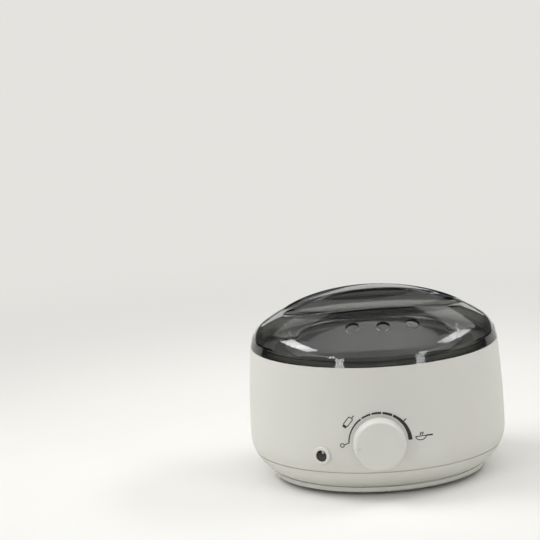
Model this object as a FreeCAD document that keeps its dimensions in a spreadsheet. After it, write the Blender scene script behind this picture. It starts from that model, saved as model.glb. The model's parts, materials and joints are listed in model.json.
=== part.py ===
"""Wax heater: a round heated housing with a lift-out wax pot under a smoked lid, set by one knob.

Millimetres, +Z up. The origin is on the table under the middle of the footprint and the knob faces -Y.
"""
import FreeCAD
import Part
import Sketcher
import math
import os

# Driving dimensions, in millimetres, and in degrees where the name says angle
SIZES = {
    # Outer form of the housing and the base
    "belly_bow": 3.0,
    "belly_height": 31.0,
    "seam_height": 19.3,
    "shell_wall": 2.5,
    "seam_reveal": 0.8,
    "seam_depth": 1.0,
    "seat_width": 3.2,
    "deck_drop": 3.0,
    "deck_wall": 2.5,
    "foot_height": 2.5,
    "foot_ring_margin": 2.0,
    "foot_ring_height": 3.5,
    "foot_ring_round": 1.2,
    "ring_groove_height": 1.0,
    "ring_groove_depth": 1.2,
    "ring_overhang": 0.8,
    "floor_wall": 2.5,
    "tongue_height": 3.0,
    "tongue_wall": 1.5,
    "tongue_gap": 0.2,
    # Screw posts, base screws, feet and floor vents
    "post_gap": 1.15,
    "post_angle": 45.0,
    "post_radius": 4.5,
    "screw_radius": 1.5,
    "screw_grip": 12.0,
    "screw_head_radius": 3.0,
    "screw_head_height": 2.4,
    "screw_sink": 1.0,
    "screw_gap": 0.3,
    "thread_gap": 0.05,
    "foot_margin": 7.5,
    "foot_radius": 8.0,
    "foot_edge": 0.8,
    "foot_stem": 3.0,
    "vent_slot_start": 20.0,
    "vent_slot_end": 36.0,
    "vent_slot_width": 4.0,
    # Lid
    "lid_height": 39.0,
    "lid_wall": 2.4,
    "lid_band": 6.0,
    "lid_band_taper": 1.5,
    "lid_step": 0.5,
    "lid_shoulder": 18.0,
    "shoulder_drop": 6.0,
    "lid_lip": 2.0,
    "lip_wall": 1.8,
    "lip_room": 11.7,
    "lip_rise": 3.0,
    "lid_gap": 0.3,
    "scoop_radius": 19.5,
    "scoop_offset": 27.0,
    "scoop_rise": 4.0,
    "scoop_tail": 7.5,
    "scoop_margin": 23.0,
    "scoop_round": 1.2,
    "steam_vent_radius": 4.8,
    "steam_vent_inset": 23.0,
    "steam_vent_angle": 19.0,
    "lid_turn_angle": 5.7,
    # Wax pot and its bail
    "pot_radius": 55.0,
    "pot_wall": 1.0,
    "pot_depth": 54.0,
    "pot_corner": 8.0,
    "pot_flange_width": 6.0,
    "ear_inset": 4.0,
    "ear_wall": 1.6,
    "ear_half_width": 4.5,
    "ear_root": 0.5,
    "pivot_rise": 4.5,
    "pin_gap": 0.1,
    "bail_wire": 1.5,
    "bail_bend": 3.5,
    "bail_stub": 5.0,
    # Heating well and what clamps it to the deck
    "well_room": 31.0,
    "pot_gap": 1.0,
    "well_wall": 1.2,
    "well_floor_gap": 0.8,
    "well_corner": 9.0,
    "well_flange_edge": 2.0,
    "deck_gap": 1.0,
    "gasket_height": 0.8,
    "gasket_inset": 0.5,
    "gasket_width": 5.0,
    "stud_radius": 1.5,
    "stud_length": 7.0,
    "nut_across": 5.5,
    "nut_height": 2.4,
    # Heater band, insulation and the parts under the well
    "band_gap": 0.15,
    "band_wall": 1.2,
    "band_rise": 5.0,
    "band_top_gap": 5.5,
    "band_split": 8.0,
    "band_ear": 12.0,
    "clamp_place": 7.2,
    "clamp_screw_radius": 2.0,
    "clamp_head_radius": 3.8,
    "clamp_nut_across": 7.0,
    "clamp_nut_height": 3.2,
    "tab_width": 6.0,
    "tab_reach": 9.0,
    "tab_wall": 0.8,
    "tab_gap": 0.6,
    "felt_gap": 0.3,
    "felt_wall": 3.5,
    "felt_slot_gap": 5.4,
    "pad_height": 4.0,
    "pad_inset": 6.0,
    "plate_wall": 1.0,
    "centre_stud_radius": 2.0,
    "centre_stud_spare": 2.0,
    "centre_nut_across": 7.0,
    "centre_nut_height": 3.2,
    "fuse_radius": 2.2,
    "fuse_length": 13.0,
    "sleeve_wall": 0.7,
    "sleeve_gap": 0.05,
    "sleeve_inset": 1.95,
    # Knob and thermostat
    "pad_lift": 2.5,
    "knob_radius": 18.2,
    "knob_depth": 9.0,
    "knob_draft": 0.6,
    "knob_round": 2.6,
    "knob_crown": 0.7,
    "knob_wall": 2.2,
    "knob_face": 2.0,
    "knob_gap": 0.6,
    "hub_radius": 6.2,
    "hub_gap": 0.5,
    "pointer_radius": 0.9,
    "pointer_depth": 0.5,
    "pointer_inset": 4.2,
    "pointer_angle": 184.0,
    "clip_wall": 0.8,
    "clip_width": 2.4,
    "clip_split_angle": 50.0,
    "pad_radius": 16.2,
    "pad_depth": 1.8,
    "pad_proud": 0.4,
    "shaft_radius": 3.0,
    "shaft_flat": 2.0,
    "shaft_gap": 0.05,
    "shaft_end_gap": 0.3,
    "bush_radius": 5.0,
    "bush_proud": 2.2,
    "bush_nut_wall": 1.0,
    "bush_nut_height": 2.0,
    "frame_width": 26.0,
    "frame_height": 20.0,
    "frame_wall": 1.5,
    "block_width": 22.0,
    "block_height": 18.0,
    "block_depth": 13.0,
    "blade_width": 6.3,
    "blade_wall": 0.8,
    "blade_reach": 8.0,
    "blade_pitch": 14.0,
    # Pilot light
    "pilot_lift": 1.6,
    "pilot_angle": 26.0,
    "bezel_radius": 6.3,
    "bezel_proud": 1.8,
    "bezel_round": 0.9,
    "bezel_neck_wall": 1.0,
    "bezel_neck": 9.0,
    "lens_radius": 4.0,
    "lens_gap": 0.05,
    "lens_depth": 5.0,
    "lens_crown": 0.9,
    "wall_gap": 0.1,
    "lamp_radius": 2.4,
    "lamp_length": 12.0,
    "lamp_tip_gap": 0.2,
    "socket_depth": 3.0,
    "clip_radius": 8.0,
    "clip_height": 1.0,
    "clip_stand": 1.2,
    # Cord gland and terminal block
    "gland_lift": 5.7,
    "gland_reach": 10.0,
    "gland_flange_radius": 9.0,
    "gland_flange": 3.0,
    "gland_nose": 5.5,
    "gland_neck": 6.5,
    "gland_bore": 3.3,
    "gland_tail": 9.0,
    "gland_nut_across": 17.0,
    "gland_nut_height": 4.0,
    "gland_nut_stand": 1.1,
    "terminal_width": 32.0,
    "terminal_depth": 16.0,
    "terminal_height": 12.0,
    "terminal_room": 10.05,
    "terminal_pitch": 10.0,
    "terminal_row": 4.0,
    "terminal_screw": 2.0,
    "terminal_sink": 7.0,
    # Internal leads
    "lead_radius": 1.1,
    "lamp_lead_radius": 0.7,
    "lead_bend": 6.0,
    "lead_height": 14.0,
    "lead_gap": 0.3,
    "lamp_lead_drop": 3.3,
    "lamp_lead_run": 9.0,
    "lamp_lead_pitch": 3.1,
}

SCREW_COUNT = 4
FOOT_COUNT = 4
STUD_COUNT = 3
FLOOR_VENT_COUNT = 8
VENT_COUNT = 3
HEX_SIDES = 6
FULL_TURN = 360.0
QUARTER_TURN = 90.0
SIDES = (-1, 1)
# Hole cutters run through this many wall thicknesses
CUTTER_WALLS = 4
# Points looked at along an edge, and the differences that count as none
EDGE_POINTS = 9
SAME_PLACE = 0.01
SAME_SHARE = 0.01
ROUNDING = 1e-6

doc = FreeCAD.newDocument("WaxHeater")
sub_parts = []


class Size:
    """A value together with the expression that works it out from the sheet."""

    def __init__(self, value, text):
        self.value = value
        self.text = text

    def __add__(self, other):
        other = size_of(other)
        return Size(self.value + other.value, f"({self.text} + {other.text})")

    def __sub__(self, other):
        other = size_of(other)
        return Size(self.value - other.value, f"({self.text} - {other.text})")

    def __mul__(self, other):
        other = size_of(other)
        return Size(self.value * other.value, f"({self.text} * {other.text})")

    def __truediv__(self, other):
        other = size_of(other)
        return Size(self.value / other.value, f"({self.text} / {other.text})")

    def __rsub__(self, other):
        return size_of(other) - self

    def __neg__(self):
        return Size(-self.value, f"(0 - {self.text})")

    __radd__ = __add__
    __rmul__ = __mul__


def size_of(number):
    """Turn a plain number into a Size, and leave a Size alone."""
    if isinstance(number, Size):
        return number
    return Size(float(number), f"({number})")


def root(size):
    return Size(math.sqrt(size.value), f"sqrt({size.text})")


def sine(angle):
    return Size(math.sin(math.radians(angle.value)), f"sin({angle.text})")


def cosine(angle):
    return Size(math.cos(math.radians(angle.value)), f"cos({angle.text})")


def arc_sine(ratio):
    return Size(math.degrees(math.asin(ratio.value)), f"(asin({ratio.text}) / 1 deg)")


def make_sheet():
    """Write the driving dimensions into the sheet and hand them back by name."""
    sheet = doc.addObject("Spreadsheet::Sheet", "Sizes")
    named = {}
    for row, (name, value) in enumerate(SIZES.items(), start=1):
        sheet.set(f"A{row}", name)
        sheet.set(f"B{row}", str(value))
        sheet.setAlias(f"B{row}", name)
        named[name] = Size(value, f"Sizes.{name}")
    doc.recompute()
    return named


S = make_sheet()


# Heights that several pieces share, from the table up
RING_TOP = S["foot_height"] + S["foot_ring_height"]
CORNER_LOW = RING_TOP + S["ring_groove_height"]
FLOOR_TOP = S["foot_height"] + S["floor_wall"]
WELL_BOTTOM = FLOOR_TOP + S["well_room"]
POT_BOTTOM = WELL_BOTTOM + S["well_wall"] + S["well_floor_gap"]
POT_SEAT = POT_BOTTOM + S["pot_depth"]
POT_TOP = POT_SEAT + S["pot_wall"]
PIVOT_HEIGHT = POT_TOP + S["pivot_rise"]
WELL_FLANGE_BOTTOM = POT_SEAT - S["well_wall"]
DECK_TOP = WELL_FLANGE_BOTTOM - S["gasket_height"]
DECK_BOTTOM = DECK_TOP - S["deck_wall"]
RIM_HEIGHT = DECK_TOP + S["deck_drop"]
LID_TOP = RIM_HEIGHT + S["lid_height"]
PLATE_BOTTOM = WELL_BOTTOM - S["pad_height"] - S["plate_wall"]
BAND_FLOOR = WELL_BOTTOM + S["well_corner"] + S["band_rise"]
BAND_TOP = DECK_BOTTOM - S["band_top_gap"]
BAND_MIDDLE = (BAND_FLOOR + BAND_TOP) / 2
TONGUE_TOP = S["seam_height"] + S["tongue_height"]
KNOB_HEIGHT = TONGUE_TOP + S["pad_lift"] + S["pad_radius"]
PILOT_HEIGHT = TONGUE_TOP + S["pilot_lift"] + S["clip_radius"]
GLAND_HEIGHT = TONGUE_TOP + S["gland_lift"] + S["gland_flange_radius"]

# Radii that several pieces share, from the pot outwards
POT_OUTER = S["pot_radius"] + S["pot_wall"]
EAR_OUTER = POT_OUTER + S["pot_flange_width"] - S["ear_inset"] + S["ear_wall"]
EAR_INNER = EAR_OUTER - S["ear_wall"]
WELL_INNER = POT_OUTER + S["pot_gap"]
WELL_OUTER = WELL_INNER + S["well_wall"]
DECK_OPENING = WELL_OUTER + S["deck_gap"]
GASKET_INNER = DECK_OPENING + S["gasket_inset"]
GASKET_OUTER = GASKET_INNER + S["gasket_width"]
STUD_RING = GASKET_OUTER + S["screw_gap"] + S["stud_radius"]
WELL_FLANGE_RADIUS = STUD_RING + S["stud_radius"] + S["well_flange_edge"]
LIP_INNER = WELL_FLANGE_RADIUS + S["lip_room"]
LIP_OUTER = LIP_INNER + S["lip_wall"]
SEAT_RADIUS = LIP_OUTER + S["lid_gap"]
RIM_RADIUS = SEAT_RADIUS + S["seat_width"]
BELLY_RADIUS = RIM_RADIUS + S["belly_bow"]
BAND_INNER = WELL_OUTER + S["band_gap"]
BAND_OUTER = BAND_INNER + S["band_wall"]
FELT_INNER = BAND_OUTER + S["felt_gap"]
FELT_OUTER = FELT_INNER + S["felt_wall"]
POST_RING = FELT_OUTER + S["post_gap"] + S["post_radius"]
FOOT_RING_RADIUS = POST_RING + S["post_radius"] + S["foot_ring_margin"]
CORNER_IN = FOOT_RING_RADIUS + S["ring_overhang"]
FOOT_PLACE = FOOT_RING_RADIUS - S["foot_margin"] - S["foot_radius"]
VENT_RING = RIM_RADIUS - S["steam_vent_inset"]

# Depths along the knob's axis, from the middle of the housing
PAD_FRONT = BELLY_RADIUS + S["pad_proud"]
PAD_BACK = BELLY_RADIUS - S["shell_wall"] - S["pad_depth"]
KNOB_BACK = PAD_FRONT + S["knob_gap"]
BUSH_FRONT = PAD_FRONT + S["bush_proud"]
BLOCK_FRONT = PAD_BACK - S["frame_wall"]
BLADE_LINE = BLOCK_FRONT - S["block_depth"] / 2

# Places at the back of the heater band
CLAMP_REACH = BAND_OUTER + S["clamp_place"]
CLAMP_OUTSIDE = S["band_split"] / 2 + S["band_wall"]
CLAMP_TIP = CLAMP_OUTSIDE + S["clamp_nut_height"] + S["clamp_screw_radius"]
TAB_PLACE = CLAMP_TIP + S["tab_gap"] + S["tab_width"] / 2
TAB_LINE = BAND_OUTER + S["tab_reach"] / 2
TERMINAL_PLACE = TAB_LINE - S["terminal_room"] - S["terminal_depth"] / 2


def wall_curve():
    """Radius of the arc that bows the housing from its rim to its belly."""
    drop = RIM_HEIGHT - S["belly_height"]
    bow = S["belly_bow"]
    return (drop * drop + bow * bow) / (2 * bow)


def corner_curve():
    """Radius of the arc that draws the housing and the base in from the belly to the foot ring."""
    run = BELLY_RADIUS - CORNER_IN
    rise = S["belly_height"] - CORNER_LOW
    return (run * run + rise * rise) / (2 * run)


def wall_radius(height, inset, curve):
    """Radius of one of the wall's arcs at a height, inset from the outer face."""
    rise = height - S["belly_height"]
    reach = curve - inset
    return BELLY_RADIUS - curve + root(reach * reach - rise * rise)


# Drawing helpers
def bind(thing, name, size):
    thing.setExpression(name, size_of(size).text)


def spot(x=0, y=0, z=0, yaw=0, pitch=0, roll=0):
    """Expression of a placement from sizes."""
    x, y, z, yaw, pitch, roll = (size_of(item).text for item in (x, y, z, yaw, pitch, roll))
    return f"placement(vector({x}; {y}; {z}); rotation({yaw}; {pitch}; {roll}))"


def origin_of(body, role):
    for feature in body.Origin.OriginFeatures:
        if feature.Role == role:
            return feature
    raise ValueError(role)


def new_body(label, place=None):
    """Start a sub-part's body at its place."""
    body = doc.addObject("PartDesign::Body", label)
    body.Label = label
    if place:
        body.setExpression("Placement", place)
    return body


def keep(thing, label):
    """Count an object as a sub-part under its own label."""
    thing.Label = label
    sub_parts.append(thing)
    return thing


def new_sketch(body, name, role="XZ_Plane", offset=None):
    sketch = body.newObject("Sketcher::SketchObject", name)
    sketch.AttachmentSupport = [(origin_of(body, role), "")]
    sketch.MapMode = "FlatFace"
    if offset:
        sketch.setExpression("AttachmentOffset", offset)
    return sketch


def fix_point(sketch, edge, end, x, y):
    """Hold one end of an edge at a position worked out from the sheet."""
    for kind, axis, size in (("DistanceX", -2, x), ("DistanceY", -1, y)):
        size = size_of(size)
        if size.text in ("(0)", "(0.0)"):
            sketch.addConstraint(Sketcher.Constraint("PointOnObject", edge, end, axis))
        else:
            index = sketch.addConstraint(Sketcher.Constraint(kind, -1, 1, edge, end, size.value))
            bind(sketch, f"Constraints[{index}]", size)


def arc_between(start, end, radius, turn):
    """Arc shorter than a half circle, anticlockwise for turn 1 and clockwise for turn -1."""
    middle = (start + end) * 0.5
    along = end - start
    left = FreeCAD.Vector(-along.y, along.x, 0).normalize()
    rise = math.sqrt(max(radius ** 2 - (along.Length / 2) ** 2, 0))
    centre = middle + left * rise * turn
    first, last = (start, end) if turn > 0 else (end, start)
    angles = [math.atan2(point.y - centre.y, point.x - centre.x) for point in (first, last)]
    if angles[1] < angles[0]:
        angles[1] += 2 * math.pi
    return Part.ArcOfCircle(Part.Circle(centre, FreeCAD.Vector(0, 0, 1), radius), *angles)


def outline(sketch, corners, arcs=None):
    """Closed outline through corners, where arcs gives the radius and turn of the side after a corner."""
    arcs = arcs or {}
    points = [FreeCAD.Vector(size_of(x).value, size_of(y).value, 0) for x, y in corners]
    count = len(corners)
    sides = []
    for place, start in enumerate(points):
        end = points[(place + 1) % count]
        if place in arcs:
            radius, turn = arcs[place]
            edge = sketch.addGeometry(arc_between(start, end, radius.value, turn), False)
            index = sketch.addConstraint(Sketcher.Constraint("Radius", edge, radius.value))
            bind(sketch, f"Constraints[{index}]", radius)
            sides.append((edge, 1, 2) if turn > 0 else (edge, 2, 1))
        else:
            edge = sketch.addGeometry(Part.LineSegment(start, end), False)
            sides.append((edge, 1, 2))
    for place, (edge, start, end) in enumerate(sides):
        following = sides[(place + 1) % count]
        sketch.addConstraint(Sketcher.Constraint("Coincident", edge, end, following[0], following[1]))
        fix_point(sketch, edge, start, *corners[place])


def circle(sketch, x, y, radius):
    centre = FreeCAD.Vector(size_of(x).value, size_of(y).value, 0)
    edge = sketch.addGeometry(Part.Circle(centre, FreeCAD.Vector(0, 0, 1), radius.value), False)
    fix_point(sketch, edge, 3, x, y)
    index = sketch.addConstraint(Sketcher.Constraint("Radius", edge, radius.value))
    bind(sketch, f"Constraints[{index}]", radius)


def rectangle(sketch, left, right, low, high):
    outline(sketch, [(left, low), (right, low), (right, high), (left, high)])


def centred(size):
    """Plain zero in place of a size that comes to nothing, so that it is held on the axis."""
    return size if abs(size.value) > ROUNDING else 0


def hexagon(sketch, across):
    """Hexagon about the sketch's origin, given its width across the flats."""
    reach = across / math.sqrt(3)
    corners = []
    for side in range(HEX_SIDES):
        angle = math.radians(FULL_TURN / HEX_SIDES * side)
        corners.append((reach * round(math.cos(angle), 9), reach * round(math.sin(angle), 9)))
    outline(sketch, [(centred(x), centred(y)) for x, y in corners])


def revolve(body, sketch, angle=FULL_TURN, middle=False):
    feature = body.newObject("PartDesign::Revolution", sketch.Name + "_turned")
    feature.Profile = sketch
    feature.ReferenceAxis = (sketch, ["V_Axis"])
    feature.Midplane = middle
    bind(feature, "Angle", angle)
    return feature


def pad(body, sketch, length, back=False):
    feature = body.newObject("PartDesign::Pad", sketch.Name + "_pad")
    feature.Profile = sketch
    feature.Reversed = back
    bind(feature, "Length", length)
    return feature


def pocket(body, sketch, depth, back=False):
    """Cut a sketch into the body and make sure that it removes something."""
    doc.recompute()
    before = body.Shape.Volume
    feature = body.newObject("PartDesign::Pocket", sketch.Name + "_cut")
    feature.Profile = sketch
    feature.Reversed = back
    bind(feature, "Length", depth)
    doc.recompute()
    if not body.Shape.Volume < before:
        raise RuntimeError(f"{feature.Name} removes nothing")
    return feature


def ring_of(body, features, count):
    """Repeat features evenly about the body's own upright axis."""
    pattern = body.newObject("PartDesign::PolarPattern", features[0].Name + "_ring")
    pattern.Originals = features
    pattern.Axis = (origin_of(body, "Z_Axis"), [""])
    pattern.Angle = FULL_TURN
    pattern.Occurrences = count
    body.Tip = pattern
    return pattern


def turned(label, corners, arcs=None, place=None, angle=FULL_TURN, middle=False):
    """Body turned from one half outline."""
    body = new_body(label, place)
    sketch = new_sketch(body, label + "_profile")
    outline(sketch, corners, arcs)
    revolve(body, sketch, angle, middle)
    return body


def tube(label, inner, outer, low, high, **options):
    return turned(label, [(inner, low), (outer, low), (outer, high), (inner, high)], **options)


def hex_nut(label, across, bore, low, height, place=None):
    """Nut whose axis is the body's own upright axis."""
    body = new_body(label, place)
    sketch = new_sketch(body, label + "_outline", "XY_Plane", spot(z=low))
    hexagon(sketch, across)
    circle(sketch, 0, 0, bore)
    pad(body, sketch, height)
    return body


def slab(label, width, depth, height, place):
    """Plain block, centred across and standing on its place."""
    body = new_body(label, place)
    sketch = new_sketch(body, label + "_outline", "XY_Plane")
    rectangle(sketch, -(width / 2), width / 2, -(depth / 2), depth / 2)
    pad(body, sketch, height)
    return body


def compound(label, members):
    """Group of separate solids that share one node."""
    group = doc.addObject("Part::Compound", label)
    group.Links = members
    return keep(group, label)


# Places that several pieces share
def front_place(reach, height):
    """Placement at the front with the piece's own upright axis pointing out at the user."""
    return spot(y=-reach, z=height, roll=QUARTER_TURN)


def pilot_place(reach):
    """Placement on the pilot light's axis, at a distance from the middle of the housing."""
    angle = S["pilot_angle"]
    return spot(-(reach * sine(angle)), -(reach * cosine(angle)), PILOT_HEIGHT, -angle, 0, QUARTER_TURN)


def rear_place(reach, height):
    """Placement at the back with the piece's own upright axis pointing out of the back."""
    return spot(y=reach, z=height, roll=-QUARTER_TURN)


# Housing
def make_housing():
    low = S["seam_height"] + S["seam_reveal"]
    curve = wall_curve()
    corner = corner_curve()
    inner = S["shell_wall"]
    seam_radius = wall_radius(low, 0, corner)
    corners = [
        (seam_radius, low),
        (BELLY_RADIUS, S["belly_height"]),
        (RIM_RADIUS, RIM_HEIGHT),
        (SEAT_RADIUS, RIM_HEIGHT),
        (SEAT_RADIUS, DECK_TOP),
        (DECK_OPENING, DECK_TOP),
        (DECK_OPENING, DECK_BOTTOM),
        (wall_radius(DECK_BOTTOM, inner, curve), DECK_BOTTOM),
        (BELLY_RADIUS - inner, S["belly_height"]),
        (wall_radius(S["seam_height"], inner, corner), S["seam_height"]),
        (seam_radius - S["seam_depth"], S["seam_height"]),
        (seam_radius - S["seam_depth"], low),
    ]
    arcs = {0: (corner, 1), 1: (curve, 1), 7: (curve - inner, -1), 8: (corner - inner, -1)}
    body = turned("housing", corners, arcs)
    add_knob_pad(body)
    add_wall_holes(body)
    add_stud_holes(body)
    add_screw_posts(body)
    keep(body, "housing")


def add_knob_pad(body):
    """Flat round pad that carries the thermostat behind the knob."""
    sketch = new_sketch(body, "knob_pad", offset=spot(z=PAD_BACK))
    circle(sketch, 0, KNOB_HEIGHT, S["pad_radius"])
    pad(body, sketch, PAD_FRONT - PAD_BACK)
    hole = new_sketch(body, "bush_hole", offset=spot(z=PAD_FRONT))
    circle(hole, 0, KNOB_HEIGHT, S["bush_radius"] + S["thread_gap"])
    pocket(body, hole, PAD_FRONT - PAD_BACK)


def add_wall_holes(body):
    """Holes through the bowed wall for the pilot light and the cord gland."""
    depth = S["shell_wall"] * CUTTER_WALLS
    reach = BELLY_RADIUS + S["shell_wall"]
    angle = S["pilot_angle"]
    tilt = spot(-(reach * sine(angle)), PILOT_HEIGHT, reach * cosine(angle), 0, -angle, 0)
    pilot = new_sketch(body, "pilot_hole", offset=tilt)
    circle(pilot, 0, 0, pilot_neck_radius() + S["wall_gap"])
    pocket(body, pilot, depth)
    gland = new_sketch(body, "gland_hole", offset=spot(z=-reach))
    circle(gland, 0, GLAND_HEIGHT, S["gland_neck"] + S["wall_gap"])
    pocket(body, gland, depth, back=True)


def add_stud_holes(body):
    sketch = new_sketch(body, "stud_hole", "XY_Plane", spot(z=DECK_TOP))
    circle(sketch, 0, STUD_RING, S["stud_radius"] + S["screw_gap"])
    ring_of(body, [pocket(body, sketch, S["deck_wall"])], STUD_COUNT)


def post_spot():
    """Where the first screw post stands."""
    return POST_RING * cosine(S["post_angle"]), POST_RING * sine(S["post_angle"])


def add_screw_posts(body):
    """Long posts hanging from the deck that take the base screws."""
    x, y = post_spot()
    post = new_sketch(body, "screw_post", "XY_Plane", spot(z=S["seam_height"]))
    circle(post, x, y, S["post_radius"])
    column = pad(body, post, DECK_BOTTOM - S["seam_height"])
    bore = new_sketch(body, "screw_pilot", "XY_Plane", spot(z=S["seam_height"]))
    circle(bore, x, y, S["screw_radius"] + S["thread_gap"])
    hole = pocket(body, bore, S["screw_grip"] + S["screw_sink"], back=True)
    ring_of(body, [column, hole], SCREW_COUNT)


# Base cover, its screws and feet
def make_base_cover():
    groove = FOOT_RING_RADIUS - S["ring_groove_depth"]
    corner = corner_curve()
    tongue = wall_radius(S["seam_height"], S["shell_wall"], corner) - S["tongue_gap"]
    edge = S["foot_ring_round"]
    corners = [
        (wall_radius(S["seam_height"], 0, corner), S["seam_height"]),
        (CORNER_IN, CORNER_LOW),
        (groove, CORNER_LOW),
        (groove, RING_TOP),
        (FOOT_RING_RADIUS, RING_TOP),
        (FOOT_RING_RADIUS, S["foot_height"] + edge),
        (FOOT_RING_RADIUS - edge, S["foot_height"]),
        (0, S["foot_height"]),
        (0, FLOOR_TOP),
        (groove - S["floor_wall"], FLOOR_TOP),
        (tongue - S["tongue_wall"], S["seam_height"]),
        (tongue - S["tongue_wall"], TONGUE_TOP),
        (tongue, TONGUE_TOP),
        (tongue, S["seam_height"]),
    ]
    body = turned("base_cover", corners, {0: (corner, -1), 5: (edge, -1)})
    add_base_posts(body)
    add_floor_holes(body)
    keep(body, "base_cover")


def add_base_posts(body):
    """Posts that meet the housing's posts, each bored and counterbored for its screw."""
    x, y = post_spot()
    post = new_sketch(body, "base_post", "XY_Plane", spot(z=FLOOR_TOP))
    circle(post, x, y, S["post_radius"])
    column = pad(body, post, S["seam_height"] - FLOOR_TOP)
    bore = new_sketch(body, "base_bore", "XY_Plane", spot(z=S["foot_height"]))
    circle(bore, x, y, S["screw_radius"] + S["screw_gap"])
    hole = pocket(body, bore, S["seam_height"] - S["foot_height"], back=True)
    sink = new_sketch(body, "base_sink", "XY_Plane", spot(z=S["foot_height"]))
    circle(sink, x, y, S["screw_head_radius"] + S["screw_gap"])
    recess = pocket(body, sink, S["screw_sink"] + S["screw_head_height"], back=True)
    ring_of(body, [column, hole, recess], SCREW_COUNT)


def add_floor_holes(body):
    """Holes for the feet and slots that let air in."""
    foot = new_sketch(body, "foot_hole", "XY_Plane", spot(z=S["foot_height"]))
    circle(foot, FOOT_PLACE, 0, S["foot_stem"] + S["thread_gap"])
    ring_of(body, [pocket(body, foot, S["floor_wall"], back=True)], FOOT_COUNT)
    slot = new_sketch(body, "floor_slot", "XY_Plane", spot(z=S["foot_height"]))
    half = S["vent_slot_width"] / 2
    rectangle(slot, S["vent_slot_start"], S["vent_slot_end"], -half, half)
    ring_of(body, [pocket(body, slot, S["floor_wall"], back=True)], FLOOR_VENT_COUNT)


def make_base_screws():
    x, y = post_spot()
    seat = S["foot_height"] + S["screw_sink"]
    body = new_body("base_screws")
    head = new_sketch(body, "screw_head", "XY_Plane", spot(z=seat))
    circle(head, x, y, S["screw_head_radius"])
    cap = pad(body, head, S["screw_head_height"])
    shank = new_sketch(body, "screw_shank", "XY_Plane", spot(z=seat + S["screw_head_height"]))
    circle(shank, x, y, S["screw_radius"])
    tip = S["seam_height"] + S["screw_grip"]
    stem = pad(body, shank, tip - seat - S["screw_head_height"])
    ring_of(body, [cap, stem], SCREW_COUNT)
    keep(body, "base_screws")


def make_rubber_feet():
    """Soft feet whose stems fill the holes in the floor."""
    body = new_body("rubber_feet")
    edge = S["foot_edge"]
    place = FOOT_PLACE
    sole = new_sketch(body, "foot_sole", "XY_Plane")
    circle(sole, place, 0, S["foot_radius"] - edge)
    tread = pad(body, sole, edge)
    disc = new_sketch(body, "foot_disc", "XY_Plane", spot(z=edge))
    circle(disc, place, 0, S["foot_radius"])
    cushion = pad(body, disc, S["foot_height"] - edge)
    stem = new_sketch(body, "foot_stem", "XY_Plane", spot(z=S["foot_height"]))
    circle(stem, place, 0, S["foot_stem"])
    plug = pad(body, stem, S["floor_wall"])
    ring_of(body, [tread, cushion, plug], FOOT_COUNT)
    keep(body, "rubber_feet")


# Lid
def dome_curve(inset):
    """Shoulder centre, dome radius and the point where shoulder and dome meet, at an inset from outside."""
    outside = S["lid_shoulder"]
    shoulder = outside - inset
    lean = S["shoulder_drop"] * S["shoulder_drop"]
    across = RIM_RADIUS - S["lid_band_taper"] - S["lid_step"] - root(outside * outside - lean)
    start = across + root(shoulder * shoulder - lean)
    rise = S["lid_height"] - inset - S["lid_band"] + S["shoulder_drop"]
    radius = (across * across + rise * rise - shoulder * shoulder) / (2 * (rise - shoulder))
    top = LID_TOP - inset
    share = radius / (radius - shoulder)
    meet = (across * share, top - radius + (radius - rise) * share)
    return start, shoulder, radius, top, meet


def dome_outer():
    start, shoulder, radius, top, meet = dome_curve(size_of(0))
    low = RIM_HEIGHT - S["lid_lip"]
    band_top = RIM_HEIGHT + S["lid_band"]
    corners = [
        (0, low),
        (LIP_OUTER, low),
        (LIP_OUTER, RIM_HEIGHT),
        (RIM_RADIUS, RIM_HEIGHT),
        (RIM_RADIUS - S["lid_band_taper"], band_top),
        (start, band_top),
        meet,
        (0, top),
    ]
    body = turned("lid_outside", corners, {5: (shoulder, 1), 6: (radius, 1)})
    for side in SIDES:
        add_scoop(body, side, size_of(0))
    round_scoops(body, radius.value, (top - radius).value)
    return body


def dome_inner():
    inset = S["lid_wall"]
    start, shoulder, radius, top, meet = dome_curve(inset)
    low = RIM_HEIGHT - S["lid_lip"] - S["lid_wall"]
    ledge = RIM_HEIGHT + S["lip_rise"]
    corners = [
        (0, low),
        (LIP_INNER, low),
        (LIP_INNER, ledge),
        (start, ledge),
        (start, RIM_HEIGHT + S["lid_band"]),
        meet,
        (0, top),
    ]
    body = turned("lid_inside", corners, {4: (shoulder, 1), 5: (radius, 1)})
    for side in SIDES:
        add_scoop(body, side, inset)
    return body


def scoop_sweep():
    """Radius that a finger recess is swept at, from the bar's middle to the tips of the oval."""
    half = RIM_RADIUS - S["scoop_margin"]
    sag = S["scoop_offset"] - S["scoop_tail"]
    return (half * half + sag * sag) / (2 * sag)


def add_scoop(body, side, inset):
    """Crescent finger recess swept round one side of the grip bar, grown by an inset for the inner face."""
    height = LID_TOP + S["scoop_rise"]
    sweep = scoop_sweep()
    axis = (S["scoop_offset"] - sweep) * side
    name = "scoop_front" if side < 0 else "scoop_rear"
    sketch = new_sketch(body, f"{body.Name}_{name}", "YZ_Plane", spot(x=axis))
    circle(sketch, sweep * side, height, S["scoop_radius"] + inset)
    doc.recompute()
    before = body.Shape.Volume
    groove = body.newObject("PartDesign::Groove", sketch.Name + "_cut")
    groove.Profile = sketch
    groove.ReferenceAxis = (sketch, ["V_Axis"])
    bind(groove, "Angle", FULL_TURN)
    doc.recompute()
    if not body.Shape.Volume < before:
        raise RuntimeError(f"{groove.Name} removes nothing")


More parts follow.
